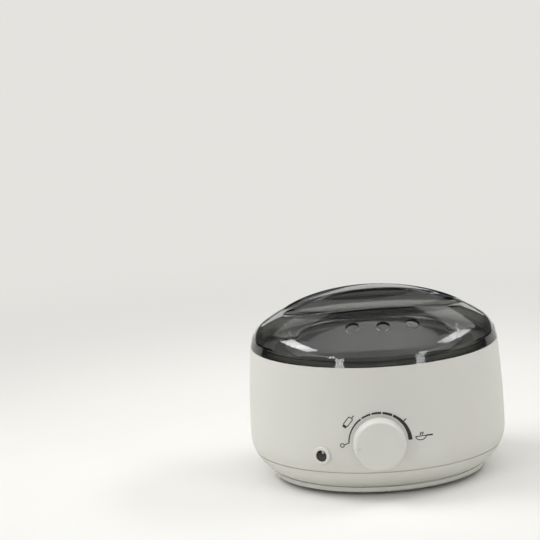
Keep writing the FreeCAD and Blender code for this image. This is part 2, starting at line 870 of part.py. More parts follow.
def round_scoops(body, radius, centre_height):
    """Soften the edges where the finger recesses break out of the dome."""
    centre = FreeCAD.Vector(0, 0, centre_height)
    names = []
    for index, edge in enumerate(body.Shape.Edges, start=1):
        if edge.Degenerated:
            continue
        points = edge.discretize(EDGE_POINTS)
        on_dome = all(abs(point.distanceToPoint(centre) - radius) < SAME_PLACE for point in points)
        beside_bar = max(abs(point.y) for point in points) > S["scoop_round"].value
        level = max(point.z for point in points) - min(point.z for point in points) < SAME_PLACE
        if on_dome and beside_bar and not level:
            names.append(f"Edge{index}")
    base = body.Tip
    fillet = body.newObject("PartDesign::Fillet", "scoop_rounding")
    fillet.Base = (base, names)
    bind(fillet, "Radius", S["scoop_round"])
    body.Tip = fillet


def make_lid():
    """Smoked lid: dome, grip bar between two finger recesses, three steam vents; it lies a little turned."""
    curve, height = dome_curve(size_of(0))[2:4]
    length = S["lid_wall"] * CUTTER_WALLS
    tilt = arc_sine(VENT_RING / curve)
    level = height - curve + root(curve * curve - VENT_RING * VENT_RING)
    cutters = [dome_inner()]
    for place in range(VENT_COUNT):
        angle = S["steam_vent_angle"] * (place - VENT_COUNT // 2)
        reach = VENT_RING - sine(tilt) * length / 2
        cutter = doc.addObject("Part::Cylinder", f"steam_vent_{place + 1}")
        bind(cutter, "Radius", S["steam_vent_radius"])
        bind(cutter, "Height", length)
        foot = level - cosine(tilt) * length / 2
        cutter.setExpression("Placement", spot(reach * sine(angle), -(reach * cosine(angle)), foot,
                                               angle, 0, tilt))
        cutters.append(cutter)
    tools = doc.addObject("Part::MultiFuse", "lid_hollows")
    tools.Shapes = cutters
    lid = doc.addObject("Part::Cut", "lid")
    lid.Base = dome_outer()
    lid.Tool = tools
    lid.setExpression("Placement", spot(yaw=S["lid_turn_angle"]))
    keep(lid, "lid")


# Wax pot and bail
def make_wax_pot():
    roll = S["pot_wall"] / 2
    flange = POT_OUTER + S["pot_flange_width"] - roll
    corner = S["pot_corner"]
    inner_corner = corner - S["pot_wall"]
    floor = POT_BOTTOM + S["pot_wall"]
    corners = [
        (0, POT_BOTTOM),
        (POT_OUTER - corner, POT_BOTTOM),
        (POT_OUTER, POT_BOTTOM + corner),
        (POT_OUTER, POT_SEAT),
        (flange, POT_SEAT),
        (flange + roll, POT_SEAT + roll),
        (flange, POT_TOP),
        (S["pot_radius"], POT_TOP),
        (S["pot_radius"], floor + inner_corner),
        (S["pot_radius"] - inner_corner, floor),
        (0, floor),
    ]
    arcs = {1: (corner, 1), 4: (roll, 1), 5: (roll, 1), 8: (inner_corner, -1)}
    body = turned("wax_pot", corners, arcs)
    for side in SIDES:
        add_ear(body, side)
    keep(body, "wax_pot")


def add_ear(body, side):
    """Upright ear on the flange with the hole that the bail turns in."""
    half = S["ear_half_width"]
    low = POT_TOP - S["ear_root"]
    name = "ear_left" if side < 0 else "ear_right"
    sketch = new_sketch(body, name, "YZ_Plane", spot(z=EAR_INNER * side))
    corners = [
        (-half, low),
        (half, low),
        (half, PIVOT_HEIGHT),
        (0, PIVOT_HEIGHT + half),
        (-half, PIVOT_HEIGHT),
    ]
    outline(sketch, corners, {2: (half, 1), 3: (half, 1)})
    circle(sketch, 0, PIVOT_HEIGHT, S["bail_wire"] + S["pin_gap"])
    pad(body, sketch, S["ear_wall"], back=side < 0)


def make_pot_bail():
    """Wire bail, folded back over the pot, with its ends turned out through the ears."""
    bend = S["bail_bend"].value
    turn_in = EAR_INNER.value - S["bail_wire"].value / 2
    arm = turn_in - bend
    tip = turn_in + S["bail_stub"].value
    height = PIVOT_HEIGHT.value
    nip = bend * (1 - math.sqrt(0.5))

    def at(x, y):
        return FreeCAD.Vector(x, y, height)

    edges = [
        Part.LineSegment(at(-tip, 0), at(-turn_in, 0)),
        Part.Arc(at(-turn_in, 0), at(-arm - nip, nip), at(-arm, bend)),
        Part.Arc(at(-arm, bend), at(0, bend + arm), at(arm, bend)),
        Part.Arc(at(arm, bend), at(arm + nip, nip), at(turn_in, 0)),
        Part.LineSegment(at(turn_in, 0), at(tip, 0)),
    ]
    bail = doc.addObject("Part::Feature", "pot_bail")
    bail.Shape = sweep_wire([edge.toShape() for edge in edges], S["bail_wire"].value)
    keep(bail, "pot_bail")


def sweep_wire(edges, radius):
    """Round wire along edges that run on smoothly, checked against section times length."""
    path = Part.Wire(edges)
    start = edges[0]
    first = start.FirstParameter
    section = Part.Circle(start.valueAt(first), start.tangentAt(first), radius)
    solid = path.makePipe(Part.Face(Part.Wire(section.toShape())))
    expected = math.pi * radius ** 2 * path.Length
    if abs(solid.Volume - expected) > SAME_SHARE * expected:
        raise RuntimeError("a wire's volume is not its section times its length")
    return solid


# Heating well and its fastening
def make_heating_well():
    corner = S["well_corner"]
    wall = S["well_wall"]
    inner_corner = corner - wall
    floor = WELL_BOTTOM + wall
    corners = [
        (0, WELL_BOTTOM),
        (WELL_OUTER - corner, WELL_BOTTOM),
        (WELL_OUTER, WELL_BOTTOM + corner),
        (WELL_OUTER, WELL_FLANGE_BOTTOM),
        (WELL_FLANGE_RADIUS, WELL_FLANGE_BOTTOM),
        (WELL_FLANGE_RADIUS, POT_SEAT),
        (WELL_INNER, POT_SEAT),
        (WELL_INNER, floor + inner_corner),
        (WELL_INNER - inner_corner, floor),
        (0, floor),
    ]
    body = turned("heating_well", corners, {1: (corner, 1), 7: (inner_corner, -1)})
    centre = new_sketch(body, "centre_stud", "XY_Plane", spot(z=WELL_BOTTOM))
    circle(centre, 0, 0, S["centre_stud_radius"])
    drop = S["pad_height"] + S["plate_wall"] + S["centre_nut_height"] + S["centre_stud_spare"]
    pad(body, centre, drop, back=True)
    stud = new_sketch(body, "flange_stud", "XY_Plane", spot(z=WELL_FLANGE_BOTTOM))
    circle(stud, 0, STUD_RING, S["stud_radius"])
    ring_of(body, [pad(body, stud, S["stud_length"], back=True)], STUD_COUNT)
    keep(body, "heating_well")


def make_well_fastening():
    keep(tube("well_gasket", GASKET_INNER, GASKET_OUTER, DECK_TOP, WELL_FLANGE_BOTTOM), "well_gasket")
    nuts = []
    for place in range(STUD_COUNT):
        angle = size_of(QUARTER_TURN + FULL_TURN / STUD_COUNT * place)
        where = spot(STUD_RING * cosine(angle), STUD_RING * sine(angle), DECK_BOTTOM - S["nut_height"])
        bore = S["stud_radius"] + S["thread_gap"]
        nuts.append(hex_nut(f"well_nut_{place + 1}", S["nut_across"], bore, 0, S["nut_height"], where))
    compound("well_nuts", nuts)


# Heater, insulation and what hangs under the well
def make_heater_band():
    """Split band round the well, with its two clamp ears at the back."""
    gap = arc_sine(S["band_split"] / 2 / BAND_INNER) * 2
    body = tube("heater_band", BAND_INNER, BAND_OUTER, BAND_FLOOR, BAND_TOP,
                place=spot(yaw=-QUARTER_TURN), angle=FULL_TURN - gap, middle=True)
    for side in SIDES:
        offset = spot(z=S["band_split"] / 2 * side)
        sketch = new_sketch(body, "clamp_ear_left" if side < 0 else "clamp_ear_right", offset=offset)
        inner = root(BAND_INNER * BAND_INNER - S["band_split"] * S["band_split"] / 4)
        rectangle(sketch, -(BAND_OUTER + S["band_ear"]), -inner, BAND_FLOOR, BAND_TOP)
        circle(sketch, -CLAMP_REACH, BAND_MIDDLE, S["clamp_screw_radius"] + S["thread_gap"])
        pad(body, sketch, S["band_wall"], back=side < 0)
    keep(body, "heater_band")


def make_band_screw():
    """Clamp screw through both ears, with its nut."""
    radius = S["clamp_screw_radius"]
    head = S["clamp_head_radius"]
    length = CLAMP_OUTSIDE + CLAMP_TIP
    top = length + S["clamp_nut_height"]
    corners = [(0, 0), (radius, 0), (radius, length), (head, length), (head, top), (0, top)]
    place = spot(-CLAMP_TIP, CLAMP_REACH, BAND_MIDDLE, pitch=QUARTER_TURN)
    screw = turned("clamp_screw", corners, place=place)
    nut_end = -CLAMP_OUTSIDE - S["clamp_nut_height"]
    nut = hex_nut("clamp_nut", S["clamp_nut_across"], radius + S["thread_gap"], 0, S["clamp_nut_height"],
                  spot(nut_end, CLAMP_REACH, BAND_MIDDLE, pitch=QUARTER_TURN))
    compound("band_screw", [screw, nut])


def make_band_tabs():
    """Blade terminals standing on the band either side of its clamp."""
    tabs = []
    near = TAB_PLACE - S["tab_width"] / 2
    root_line = root(BAND_OUTER * BAND_OUTER - near * near) + S["band_gap"]
    for side in SIDES:
        place = spot(TAB_PLACE * side, root_line + S["tab_reach"] / 2, BAND_MIDDLE)
        name = "band_tab_left" if side < 0 else "band_tab_right"
        tabs.append(slab(name, S["tab_width"], S["tab_reach"], S["tab_wall"], place))
    compound("band_tabs", tabs)


def make_insulation():
    slot = arc_sine((TAB_PLACE + S["tab_width"] / 2 + S["felt_slot_gap"]) / FELT_INNER) * 2
    sleeve = tube("insulation_sleeve", FELT_INNER, FELT_OUTER, BAND_FLOOR, BAND_TOP,
                  place=spot(yaw=-QUARTER_TURN), angle=FULL_TURN - slot, middle=True)
    keep(sleeve, "insulation_sleeve")
    low = WELL_BOTTOM - S["pad_height"]
    bore = S["centre_stud_radius"] + S["screw_gap"]
    rim = WELL_OUTER - S["well_corner"]
    keep(tube("insulation_pad", bore, rim, low, WELL_BOTTOM), "insulation_pad")
    keep(tube("pad_plate", bore, rim - S["pad_inset"], PLATE_BOTTOM, low), "pad_plate")
    nut = hex_nut("pad_nut", S["centre_nut_across"], S["centre_stud_radius"] + S["thread_gap"],
                  PLATE_BOTTOM - S["centre_nut_height"], S["centre_nut_height"])
    keep(nut, "pad_nut")


def make_thermal_fuse():
    """Fuse in a glass-fibre sleeve, lying against the well below the band."""
    bore = S["fuse_radius"] + S["sleeve_gap"]
    outer = bore + S["sleeve_wall"]
    x = WELL_OUTER + S["band_gap"] + outer
    height = BAND_FLOOR - S["band_gap"] - outer
    place = spot(x, -(S["fuse_length"] / 2), height, roll=-QUARTER_TURN)
    length = S["fuse_length"]
    corners = [(0, 0), (S["fuse_radius"], 0), (S["fuse_radius"], length), (0, length)]
    keep(turned("thermal_fuse", corners, place=place), "thermal_fuse")
    short = S["sleeve_inset"]
    keep(tube("fuse_sleeve", bore, outer, short, length - short, place=place), "fuse_sleeve")


# Knob and thermostat
def make_control_knob():
    """Knob modelled on its own axis, with its back at zero and its face away from the housing."""
    depth = S["knob_depth"]
    rim = S["knob_radius"] - S["knob_draft"]
    shoulder = depth - S["knob_crown"] - S["knob_round"]
    flat = rim - S["knob_round"]
    crown = (flat * flat + S["knob_crown"] * S["knob_crown"]) / (2 * S["knob_crown"])
    hollow = depth - S["knob_crown"] - S["knob_face"]
    hub_back = BUSH_FRONT + S["hub_gap"] - KNOB_BACK
    bore = S["shaft_radius"] + S["shaft_gap"]
    corners = [
        (bore, hub_back),
        (S["hub_radius"], hub_back),
        (S["hub_radius"], hollow),
        (rim - S["knob_wall"], hollow),
        (rim - S["knob_wall"], 0),
        (S["knob_radius"], 0),
        (rim, shoulder),
        (flat, depth - S["knob_crown"]),
        (0, depth),
        (0, hollow),
        (bore, hollow),
    ]
    arcs = {6: (S["knob_round"], 1), 7: (crown, 1)}
    body = turned("control_knob", corners, arcs, place=front_place(KNOB_BACK, KNOB_HEIGHT))
    add_shaft_key(body, hub_back, hollow)
    add_pointer(body)
    keep(body, "control_knob")


def add_shaft_key(body, low, high):
    """Flat in the bore that meets the flat of the shaft."""
    sketch = new_sketch(body, "bore_flat", "XY_Plane", spot(z=low))
    bore = S["shaft_radius"] + S["shaft_gap"]
    inner = S["shaft_flat"] + S["shaft_gap"]
    middle = (bore + S["hub_radius"]) / 2
    half = root(bore * bore - inner * inner)
    rectangle(sketch, inner, middle, -half, half)
    pad(body, sketch, high - low)


def add_pointer(body):
    """Small dimple that marks the setting, turned to the off mark at rest."""
    reach = S["knob_radius"] - S["pointer_inset"]
    angle = S["pointer_angle"]
    sketch = new_sketch(body, "pointer_dimple", "XY_Plane", spot(z=S["knob_depth"]))
    circle(sketch, reach * cosine(angle), reach * sine(angle), S["pointer_radius"])
    pocket(body, sketch, S["knob_crown"] + S["pointer_depth"])


def make_knob_clip():
    """Split spring ring that grips the hub on the shaft."""
    high = S["knob_depth"] - S["knob_crown"] - S["knob_face"] - S["lead_gap"]
    inner = S["hub_radius"] + S["shaft_gap"]
    clip = tube("knob_clip", inner, inner + S["clip_wall"], high - S["clip_width"], high,
                place=front_place(KNOB_BACK, KNOB_HEIGHT),
                angle=FULL_TURN - S["clip_split_angle"], middle=True)
    keep(clip, "knob_clip")


def make_thermostat_shaft():
    """Shaft with a flat at its knob end, running in the bush."""
    back = BLOCK_FRONT + S["shaft_end_gap"]
    length = KNOB_BACK + S["knob_depth"] - S["knob_crown"] - S["knob_face"] - S["shaft_end_gap"] - back
    plain = BUSH_FRONT - back
    place = front_place(back, KNOB_HEIGHT)
    corners = [(0, 0), (S["shaft_radius"], 0), (S["shaft_radius"], length), (0, length)]
    body = turned("thermostat_shaft", corners, place=place)
    flat = new_sketch(body, "shaft_flat", "XY_Plane", spot(z=plain))
    rectangle(flat, S["shaft_flat"], S["shaft_radius"], -S["shaft_radius"], S["shaft_radius"])
    pocket(body, flat, length - plain, back=True)
    keep(body, "thermostat_shaft")


def make_thermostat():
    """Frame with its threaded bush, ceramic switch block, blade terminals and the bush nut."""
    frame = new_body("thermostat_frame", front_place(BLOCK_FRONT, KNOB_HEIGHT))
    plate = new_sketch(frame, "frame_plate", "XY_Plane")
    half_width = S["frame_width"] / 2
    half_height = S["frame_height"] / 2
    rectangle(plate, -half_width, half_width, -half_height, half_height)
    circle(plate, 0, 0, S["shaft_radius"] + S["shaft_gap"])
    pad(frame, plate, S["frame_wall"])
    bush = new_sketch(frame, "frame_bush", "XY_Plane", spot(z=S["frame_wall"]))
    circle(bush, 0, 0, S["bush_radius"])
    circle(bush, 0, 0, S["shaft_radius"] + S["shaft_gap"])
    pad(frame, bush, BUSH_FRONT - PAD_BACK)
    keep(frame, "thermostat_frame")
    block_back = BLOCK_FRONT - S["block_depth"]
    place = front_place(block_back, KNOB_HEIGHT)
    block = slab("thermostat_block", S["block_width"], S["block_height"], S["block_depth"], place)
    keep(block, "thermostat_block")
    across = (S["bush_radius"] + S["bush_nut_wall"]) * 2
    nut = hex_nut("thermostat_nut", across, S["bush_radius"] + S["thread_gap"], 0,
                  S["bush_nut_height"], front_place(PAD_FRONT, KNOB_HEIGHT))
    keep(nut, "thermostat_nut")
    blades = []
    for side in SIDES:
        low = KNOB_HEIGHT - S["block_height"] / 2 - S["blade_reach"]
        where = spot(S["blade_pitch"] / 2 * side, -BLADE_LINE, low)
        name = "blade_left" if side < 0 else "blade_right"
        blades.append(slab(name, S["blade_width"], S["blade_wall"], S["blade_reach"], where))
    compound("thermostat_blades", blades)


# Pilot light
def pilot_neck_radius():
    return S["lens_radius"] + S["lens_gap"] + S["bezel_neck_wall"]


def make_pilot_light():
    """Bezel, lens, lamp, socket and spring clip on one axis, with zero at the inner end of the neck."""
    wall = BELLY_RADIUS
    place = pilot_place(wall - S["bezel_neck"])
    neck = pilot_neck_radius()
    bore = S["lens_radius"] + S["lens_gap"]
    seat = S["bezel_neck"] + S["wall_gap"]
    front = S["bezel_neck"] + S["bezel_proud"]
    edge = S["bezel_round"]
    corners = [
        (bore, 0),
        (neck, 0),
        (neck, seat),
        (S["bezel_radius"], seat),
        (S["bezel_radius"], front - edge),
        (S["bezel_radius"] - edge, front),
        (bore, front),
    ]
    keep(turned("pilot_bezel", corners, {4: (edge, 1)}, place=place), "pilot_bezel")
    make_pilot_lens(place, front)
    back = front - S["lens_depth"] - S["lamp_tip_gap"]
    lamp = [
        (0, back - S["lamp_length"]),
        (S["lamp_radius"], back - S["lamp_length"]),
        (S["lamp_radius"], back - S["lamp_radius"]),
        (0, back),
    ]
    keep(turned("pilot_lamp", lamp, {2: (S["lamp_radius"], 1)}, place=place), "pilot_lamp")
    socket = S["lamp_radius"] + S["lens_gap"]
    keep(tube("lamp_socket", socket, S["lens_radius"], 0, S["socket_depth"], place=place), "lamp_socket")
    high = S["bezel_neck"] - S["shell_wall"] - S["clip_stand"]
    low = high - S["clip_height"]
    keep(tube("pilot_clip", neck + S["lens_gap"], S["clip_radius"], low, high, place=place), "pilot_clip")


def make_pilot_lens(place, front):
    """Domed lens whose face stands just inside the bezel's edge."""
    radius = S["lens_radius"]
    crown = S["lens_crown"]
    curve = (radius * radius + crown * crown) / (2 * crown)
    back = front - S["lens_depth"]
    corners = [(0, back), (radius, back), (radius, front - crown), (0, front)]
    keep(turned("pilot_lens", corners, {2: (curve, 1)}, place=place), "pilot_lens")


# Cord gland and terminal block
def make_cord_gland():
    """Gland bush for a round lead, with zero at its inner end, and the nut that holds it."""
    tail = S["gland_tail"]
    seat = tail + S["wall_gap"]
    flange = tail + S["gland_flange"]
    tip = tail + S["gland_reach"]
    corners = [
        (S["gland_bore"], 0),
        (S["gland_neck"], 0),
        (S["gland_neck"], seat),
        (S["gland_flange_radius"], seat),
        (S["gland_flange_radius"], flange),
        (S["gland_neck"], flange),
        (S["gland_nose"], tip),
        (S["gland_bore"], tip),
    ]
    place = rear_place(BELLY_RADIUS - tail, GLAND_HEIGHT)
    keep(turned("cord_gland", corners, place=place), "cord_gland")
    low = tail - S["shell_wall"] - S["gland_nut_stand"] - S["gland_nut_height"]
    nut = hex_nut("gland_nut", S["gland_nut_across"], S["gland_neck"] + S["thread_gap"], low,
                  S["gland_nut_height"], place)
    keep(nut, "gland_nut")


def terminal_spots():
    """Screw positions of the three poles, front and back."""
    return [(centred(S["terminal_pitch"] * pole), S["terminal_row"] * side)
            for pole in (-1, 0, 1) for side in SIDES]


def make_terminal_block():
    place = spot(y=TERMINAL_PLACE, z=FLOOR_TOP)
    body = slab("terminal_block", S["terminal_width"], S["terminal_depth"], S["terminal_height"], place)
    holes = new_sketch(body, "terminal_holes", "XY_Plane", spot(z=S["terminal_height"]))
    for x, y in terminal_spots():
        circle(holes, x, y, S["terminal_screw"] + S["thread_gap"])
    pocket(body, holes, S["terminal_sink"])
    keep(body, "terminal_block")
    screws = new_body("terminal_screws", place)
    foot = S["terminal_height"] - S["terminal_sink"]
    heads = new_sketch(screws, "terminal_heads", "XY_Plane", spot(z=foot))
    for x, y in terminal_spots():
        circle(heads, x, y, S["terminal_screw"])
    pad(screws, heads, S["terminal_sink"] - S["screw_sink"])
    keep(screws, "terminal_screws")


# Internal leads
def bent_path(points, bend):
    """Straight runs through points, joined by tangent arcs of one radius."""
    edges = []
    start = points[0]
    for before, corner, after in zip(points, points[1:], points[2:]):
        back = (before - corner).normalize()
        on = (after - corner).normalize()
        half = back.getAngle(on) / 2
        trim = bend / math.tan(half)
        middle = corner + (back + on).normalize() * (bend / math.sin(half) - bend)
        edges.append(Part.LineSegment(start, corner + back * trim).toShape())
        edges.append(Part.Arc(corner + back * trim, middle, corner + on * trim).toShape())
        start = corner + on * trim
    edges.append(Part.LineSegment(start, points[-1]).toShape())
    return edges


def make_leads(label, routes, radius):
    """Insulated leads along their routes, as one node."""
    bend = S["lead_bend"].value
    group = doc.addObject("Part::Feature", label)
    group.Shape = Part.makeCompound([sweep_wire(bent_path(route, bend), radius) for route in routes])
    keep(group, label)


def make_all_leads():
    wire = S["lead_radius"].value
    gap = S["lead_gap"].value
    level = S["lead_height"].value
    at = FreeCAD.Vector
    pole = S["terminal_pitch"].value
    face = (TERMINAL_PLACE - S["terminal_depth"] / 2).value - gap
    back = (TERMINAL_PLACE + S["terminal_depth"] / 2).value + gap + wire / 2
    blade = -BLADE_LINE.value
    blade_x = S["blade_pitch"].value / 2
    blade_low = (KNOB_HEIGHT - S["block_height"] / 2 - S["blade_reach"]).value - gap
    tab_x = TAB_PLACE.value
    tab_y = TAB_LINE.value
    tab_low = BAND_MIDDLE.value - gap
    supply = []
    element = []
    for side in SIDES:
        corner = at(blade_x * side, blade, level)
        supply.append([at(pole * side, face, level), corner, at(blade_x * side, blade, blade_low)])
        corner = at(tab_x * side, tab_y, level)
        element.append([at(tab_x * side, tab_y, tab_low), corner, at(pole * side, back, level)])
    make_leads("supply_leads", supply, wire)
    make_leads("element_leads", element, wire)
    make_lamp_leads(face, level - S["lamp_lead_drop"].value)


def make_lamp_leads(face, level):
    """Pair of thin leads from the lamp's foot to the terminal block, under the supply leads."""
    thin = S["lamp_lead_radius"].value
    angle = math.radians(S["pilot_angle"].value)
    out = FreeCAD.Vector(-math.sin(angle), -math.cos(angle), 0)
    across = FreeCAD.Vector(-out.y, out.x, 0)
    lamp_back = BELLY_RADIUS + S["bezel_proud"] - S["lens_depth"] - S["lamp_tip_gap"] - S["lamp_length"]
    foot = lamp_back.value - S["lead_gap"].value
    height = PILOT_HEIGHT.value
    inner = foot - S["lamp_lead_run"].value
    half_pitch = S["lamp_lead_pitch"].value / 2
    routes = []
    for side in SIDES:
        aside = across * (S["lamp_radius"].value - thin) * side
        start = out * foot + aside + FreeCAD.Vector(0, 0, height)
        inward = out * inner + aside + FreeCAD.Vector(0, 0, height)
        down = FreeCAD.Vector(inward.x, inward.y, level)
        routes.append([start, inward, down, FreeCAD.Vector(half_pitch * side, face, level)])
    make_leads("lamp_leads", routes, thin)


# Build, check and write
def check():
    """Stop if any object failed or any sub-part is empty or broken."""
    for thing in doc.Objects:
        if "Invalid" in thing.State or "Error" in thing.State:
            raise RuntimeError(f"{thing.Name} failed: {thing.State}")
    for part in sub_parts:
        if part.Shape.isNull() or not part.Shape.isValid() or not part.Shape.Solids:
            raise RuntimeError(f"{part.Label} has no valid solid")


def build():
    make_housing()
    make_base_cover()
    make_base_screws()
    make_rubber_feet()
    make_lid()
    make_wax_pot()
    make_pot_bail()
    make_heating_well()
    make_well_fastening()
    make_heater_band()
    make_band_screw()
    make_band_tabs()
    make_insulation()
    make_thermal_fuse()
    make_control_knob()
    make_knob_clip()
    make_thermostat_shaft()
    make_thermostat()
    make_pilot_light()
    make_cord_gland()
    make_terminal_block()
    make_all_leads()
    doc.recompute()


def write():
    os.makedirs("parts", exist_ok=True)
    for part in sub_parts:
        part.Shape.exportStep(f"parts/{part.Label}.step")
        print(f"{part.Label}: {len(part.Shape.Solids)} solids, {part.Shape.Volume / 1000:.2f} cm3")


build()
check()
write()
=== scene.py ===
"""The looks of a wax heater.

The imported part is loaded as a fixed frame. Every piece gets the finish of its real material, the dial
is printed on the housing, and a plain studio is set up around it.
"""

import json
import math
from typing import NamedTuple

import bmesh
import bpy
from mathutils import Matrix, Quaternion, Vector


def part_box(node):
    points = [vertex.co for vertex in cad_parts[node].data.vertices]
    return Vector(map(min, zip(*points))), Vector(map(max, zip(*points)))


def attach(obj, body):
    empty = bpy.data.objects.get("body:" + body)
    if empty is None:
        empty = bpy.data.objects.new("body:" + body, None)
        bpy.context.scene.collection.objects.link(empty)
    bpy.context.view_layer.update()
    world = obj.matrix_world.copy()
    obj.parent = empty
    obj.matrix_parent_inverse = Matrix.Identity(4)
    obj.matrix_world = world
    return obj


bl_info = {
    "name": "Wax heater",
    "version": (1, 0, 0),
    "blender": (4, 5, 0),
    "location": "View3D > Sidebar > Wax heater",
    "description": "Finishes, dial print and studio for a bench-top wax heater",
    "category": "Object",
}

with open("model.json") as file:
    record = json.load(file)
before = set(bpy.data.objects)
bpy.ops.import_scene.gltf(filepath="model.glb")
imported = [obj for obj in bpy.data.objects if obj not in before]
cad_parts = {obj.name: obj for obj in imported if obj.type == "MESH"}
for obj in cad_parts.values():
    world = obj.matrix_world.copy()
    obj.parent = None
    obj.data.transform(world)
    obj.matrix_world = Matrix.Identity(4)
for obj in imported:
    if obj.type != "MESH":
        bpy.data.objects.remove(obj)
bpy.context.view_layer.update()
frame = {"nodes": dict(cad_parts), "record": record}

MM = 0.001
SLOT_OF_NODE = {row["node"]: row["material_slot"] for row in frame["record"]["subparts"]}


def linear(hex_colour):
    """The linear RGB of an sRGB hex value such as #D8D7D0."""
    parts = [int(hex_colour[start:start + 2], 16) / 255 for start in (1, 3, 5)]
    return [part / 12.92 if part <= 0.04045 else ((part + 0.055) / 1.055) ** 2.4 for part in parts]


def rgba(colour):
    """A colour as the four numbers that a node's socket takes, from an sRGB hex value or a property."""
    return (*(linear(colour) if isinstance(colour, str) else colour), 1.0)


def per_metre(size_mm):
    """The texture scale at which one feature is about that many millimetres wide."""
    return 1 / (size_mm * MM)


def colour_property(name, description, hex_colour):
    """A colour that a user may change, given as an sRGB hex value."""
    return bpy.props.FloatVectorProperty(
        name=name, description=description, subtype="COLOR", size=3, min=0, max=1,
        default=linear(hex_colour))


def length_property(name, description, size_mm):
    """A length that a user may change, given in millimetres."""
    return bpy.props.FloatProperty(
        name=name, description=description, subtype="DISTANCE", unit="LENGTH", precision=5,
        default=size_mm * MM)


def angle_property(name, description, degrees):
    """An angle that a user may change, given in degrees."""
    return bpy.props.FloatProperty(
        name=name, description=description, subtype="ANGLE", unit="ROTATION", default=math.radians(degrees))


def share_property(name, description, share):
    """A share from 0 to 1 that a user may change."""
    return bpy.props.FloatProperty(
        name=name, description=description, subtype="FACTOR", min=0, max=1, default=share)


class HeaterColours(bpy.types.PropertyGroup):
    """The colours that tell one heater from another."""

    housing: colour_property("Housing", "White ABS of the shells, the knob and the bezel", "#D9D8D1")
    smoke: colour_property("Smoke", "What the lid's smoked acrylic keeps of each colour", "#7C7E74")
    smoke_depth: length_property(
        "Smoke depth", "Thickness of acrylic that holds back two thirds of the light", 3.6)
    ink: colour_property("Ink", "Print of the dial", "#1B1C1A")
    lens: colour_property("Lens", "Smoked polycarbonate of the pilot light", "#1C1211")


class DialSizes(bpy.types.PropertyGroup):
    """The sizes of the print round the knob."""

    radius: length_property("Radius", "Middle of the scale's line, from the knob's axis", 20.9)
    thin: length_property("Thin end", "Width of the scale's line at the off mark", 0.8)
    thick: length_property("Thick end", "Width of the scale's line at the hot end", 2.8)
    stroke: length_property("Stroke", "Width of the lines of the signs", 0.6)
    ink_thickness: length_property("Ink thickness", "Thickness of the printed ink", 0.05)
    lift: length_property("Lift", "Room between the wall's facets and the ink", 0.06)
    start: angle_property("Start", "Where the scale starts, from three o'clock", 179)
    end: angle_property("End", "Where the scale ends, from three o'clock", 2)
    plain_share: share_property("Plain share", "Share of the scale before the first gap", 0.301)
    dash_share: share_property("Dash share", "Share of the scale from one gap to the next", 0.116)
    gaps: bpy.props.IntProperty(name="Gaps", description="Gaps in the scale's line", min=0, default=4)
    gap_share: share_property("Gap share", "Share of a dash that is left bare", 0.11)
    tick: angle_property("Tick", "Where the tick crosses the scale, from three o'clock", 40)
    cartridge: angle_property("Cartridge", "Where the cartridge sign stands, from three o'clock", 144)
    pan: angle_property("Pan", "Where the pan sign stands, from three o'clock", 5)
    off: angle_property("Off", "Where the off sign stands, from three o'clock", 183)


class StudioSettings(bpy.types.PropertyGroup):
    """The floor, the lights and the camera."""

    floor: colour_property("Floor", "Colour of the floor", "#E4E3DF")
    fill: bpy.props.FloatProperty(
        name="Fill", description="Strength of the soft light from the front", default=0.28)
    fill_behind: bpy.props.FloatProperty(
        name="Fill behind", description="Strength of the soft light from behind", default=0.10)
    camera_distance: length_property("Camera distance", "From the heater's axis, along the table", 1917.6)
    camera_height: length_property("Camera height", "Above the table", 517.3)
    camera_side: angle_property("Camera side", "How far the camera stands to the right of the knob", -0.54)
    camera_yaw: angle_property("Camera yaw", "How far the camera looks to the right of the axis", -2.10)
    camera_pitch: angle_property("Camera pitch", "How far the camera looks up", -10.93)
    camera_roll: angle_property("Camera roll", "How far the picture turns clockwise", -3.20)
    camera_lens: bpy.props.FloatProperty(
        name="Camera lens", description="Focal length", subtype="DISTANCE_CAMERA", unit="CAMERA",
        default=185.2)


class HeaterSettings(bpy.types.PropertyGroup):
    """Everything that a user may change."""

    colours: bpy.props.PointerProperty(type=HeaterColours)
    dial: bpy.props.PointerProperty(type=DialSizes)
    studio: bpy.props.PointerProperty(type=StudioSettings)


def add_node(tree, kind, inputs=None, **settings):
    """Add a node, give it its settings, and set its inputs or link them where the value is a socket."""
    node = tree.nodes.new(kind)
    for name, value in settings.items():
        setattr(node, name, value)
    for name, value in (inputs or {}).items():
        if isinstance(value, bpy.types.NodeSocket):
            tree.links.new(value, node.inputs[name])
        else:
            node.inputs[name].default_value = value
    return node


# Most of a noise pattern lies between these two values
NOISE_LOW = 0.3
NOISE_HIGH = 0.7
# Colour of the darker, thinner or worn patches, as a multiple of the plain colour
ABS_PATCHES = 0.95
INK_PATCHES = 1.6
FLOOR_PATCHES = 0.985


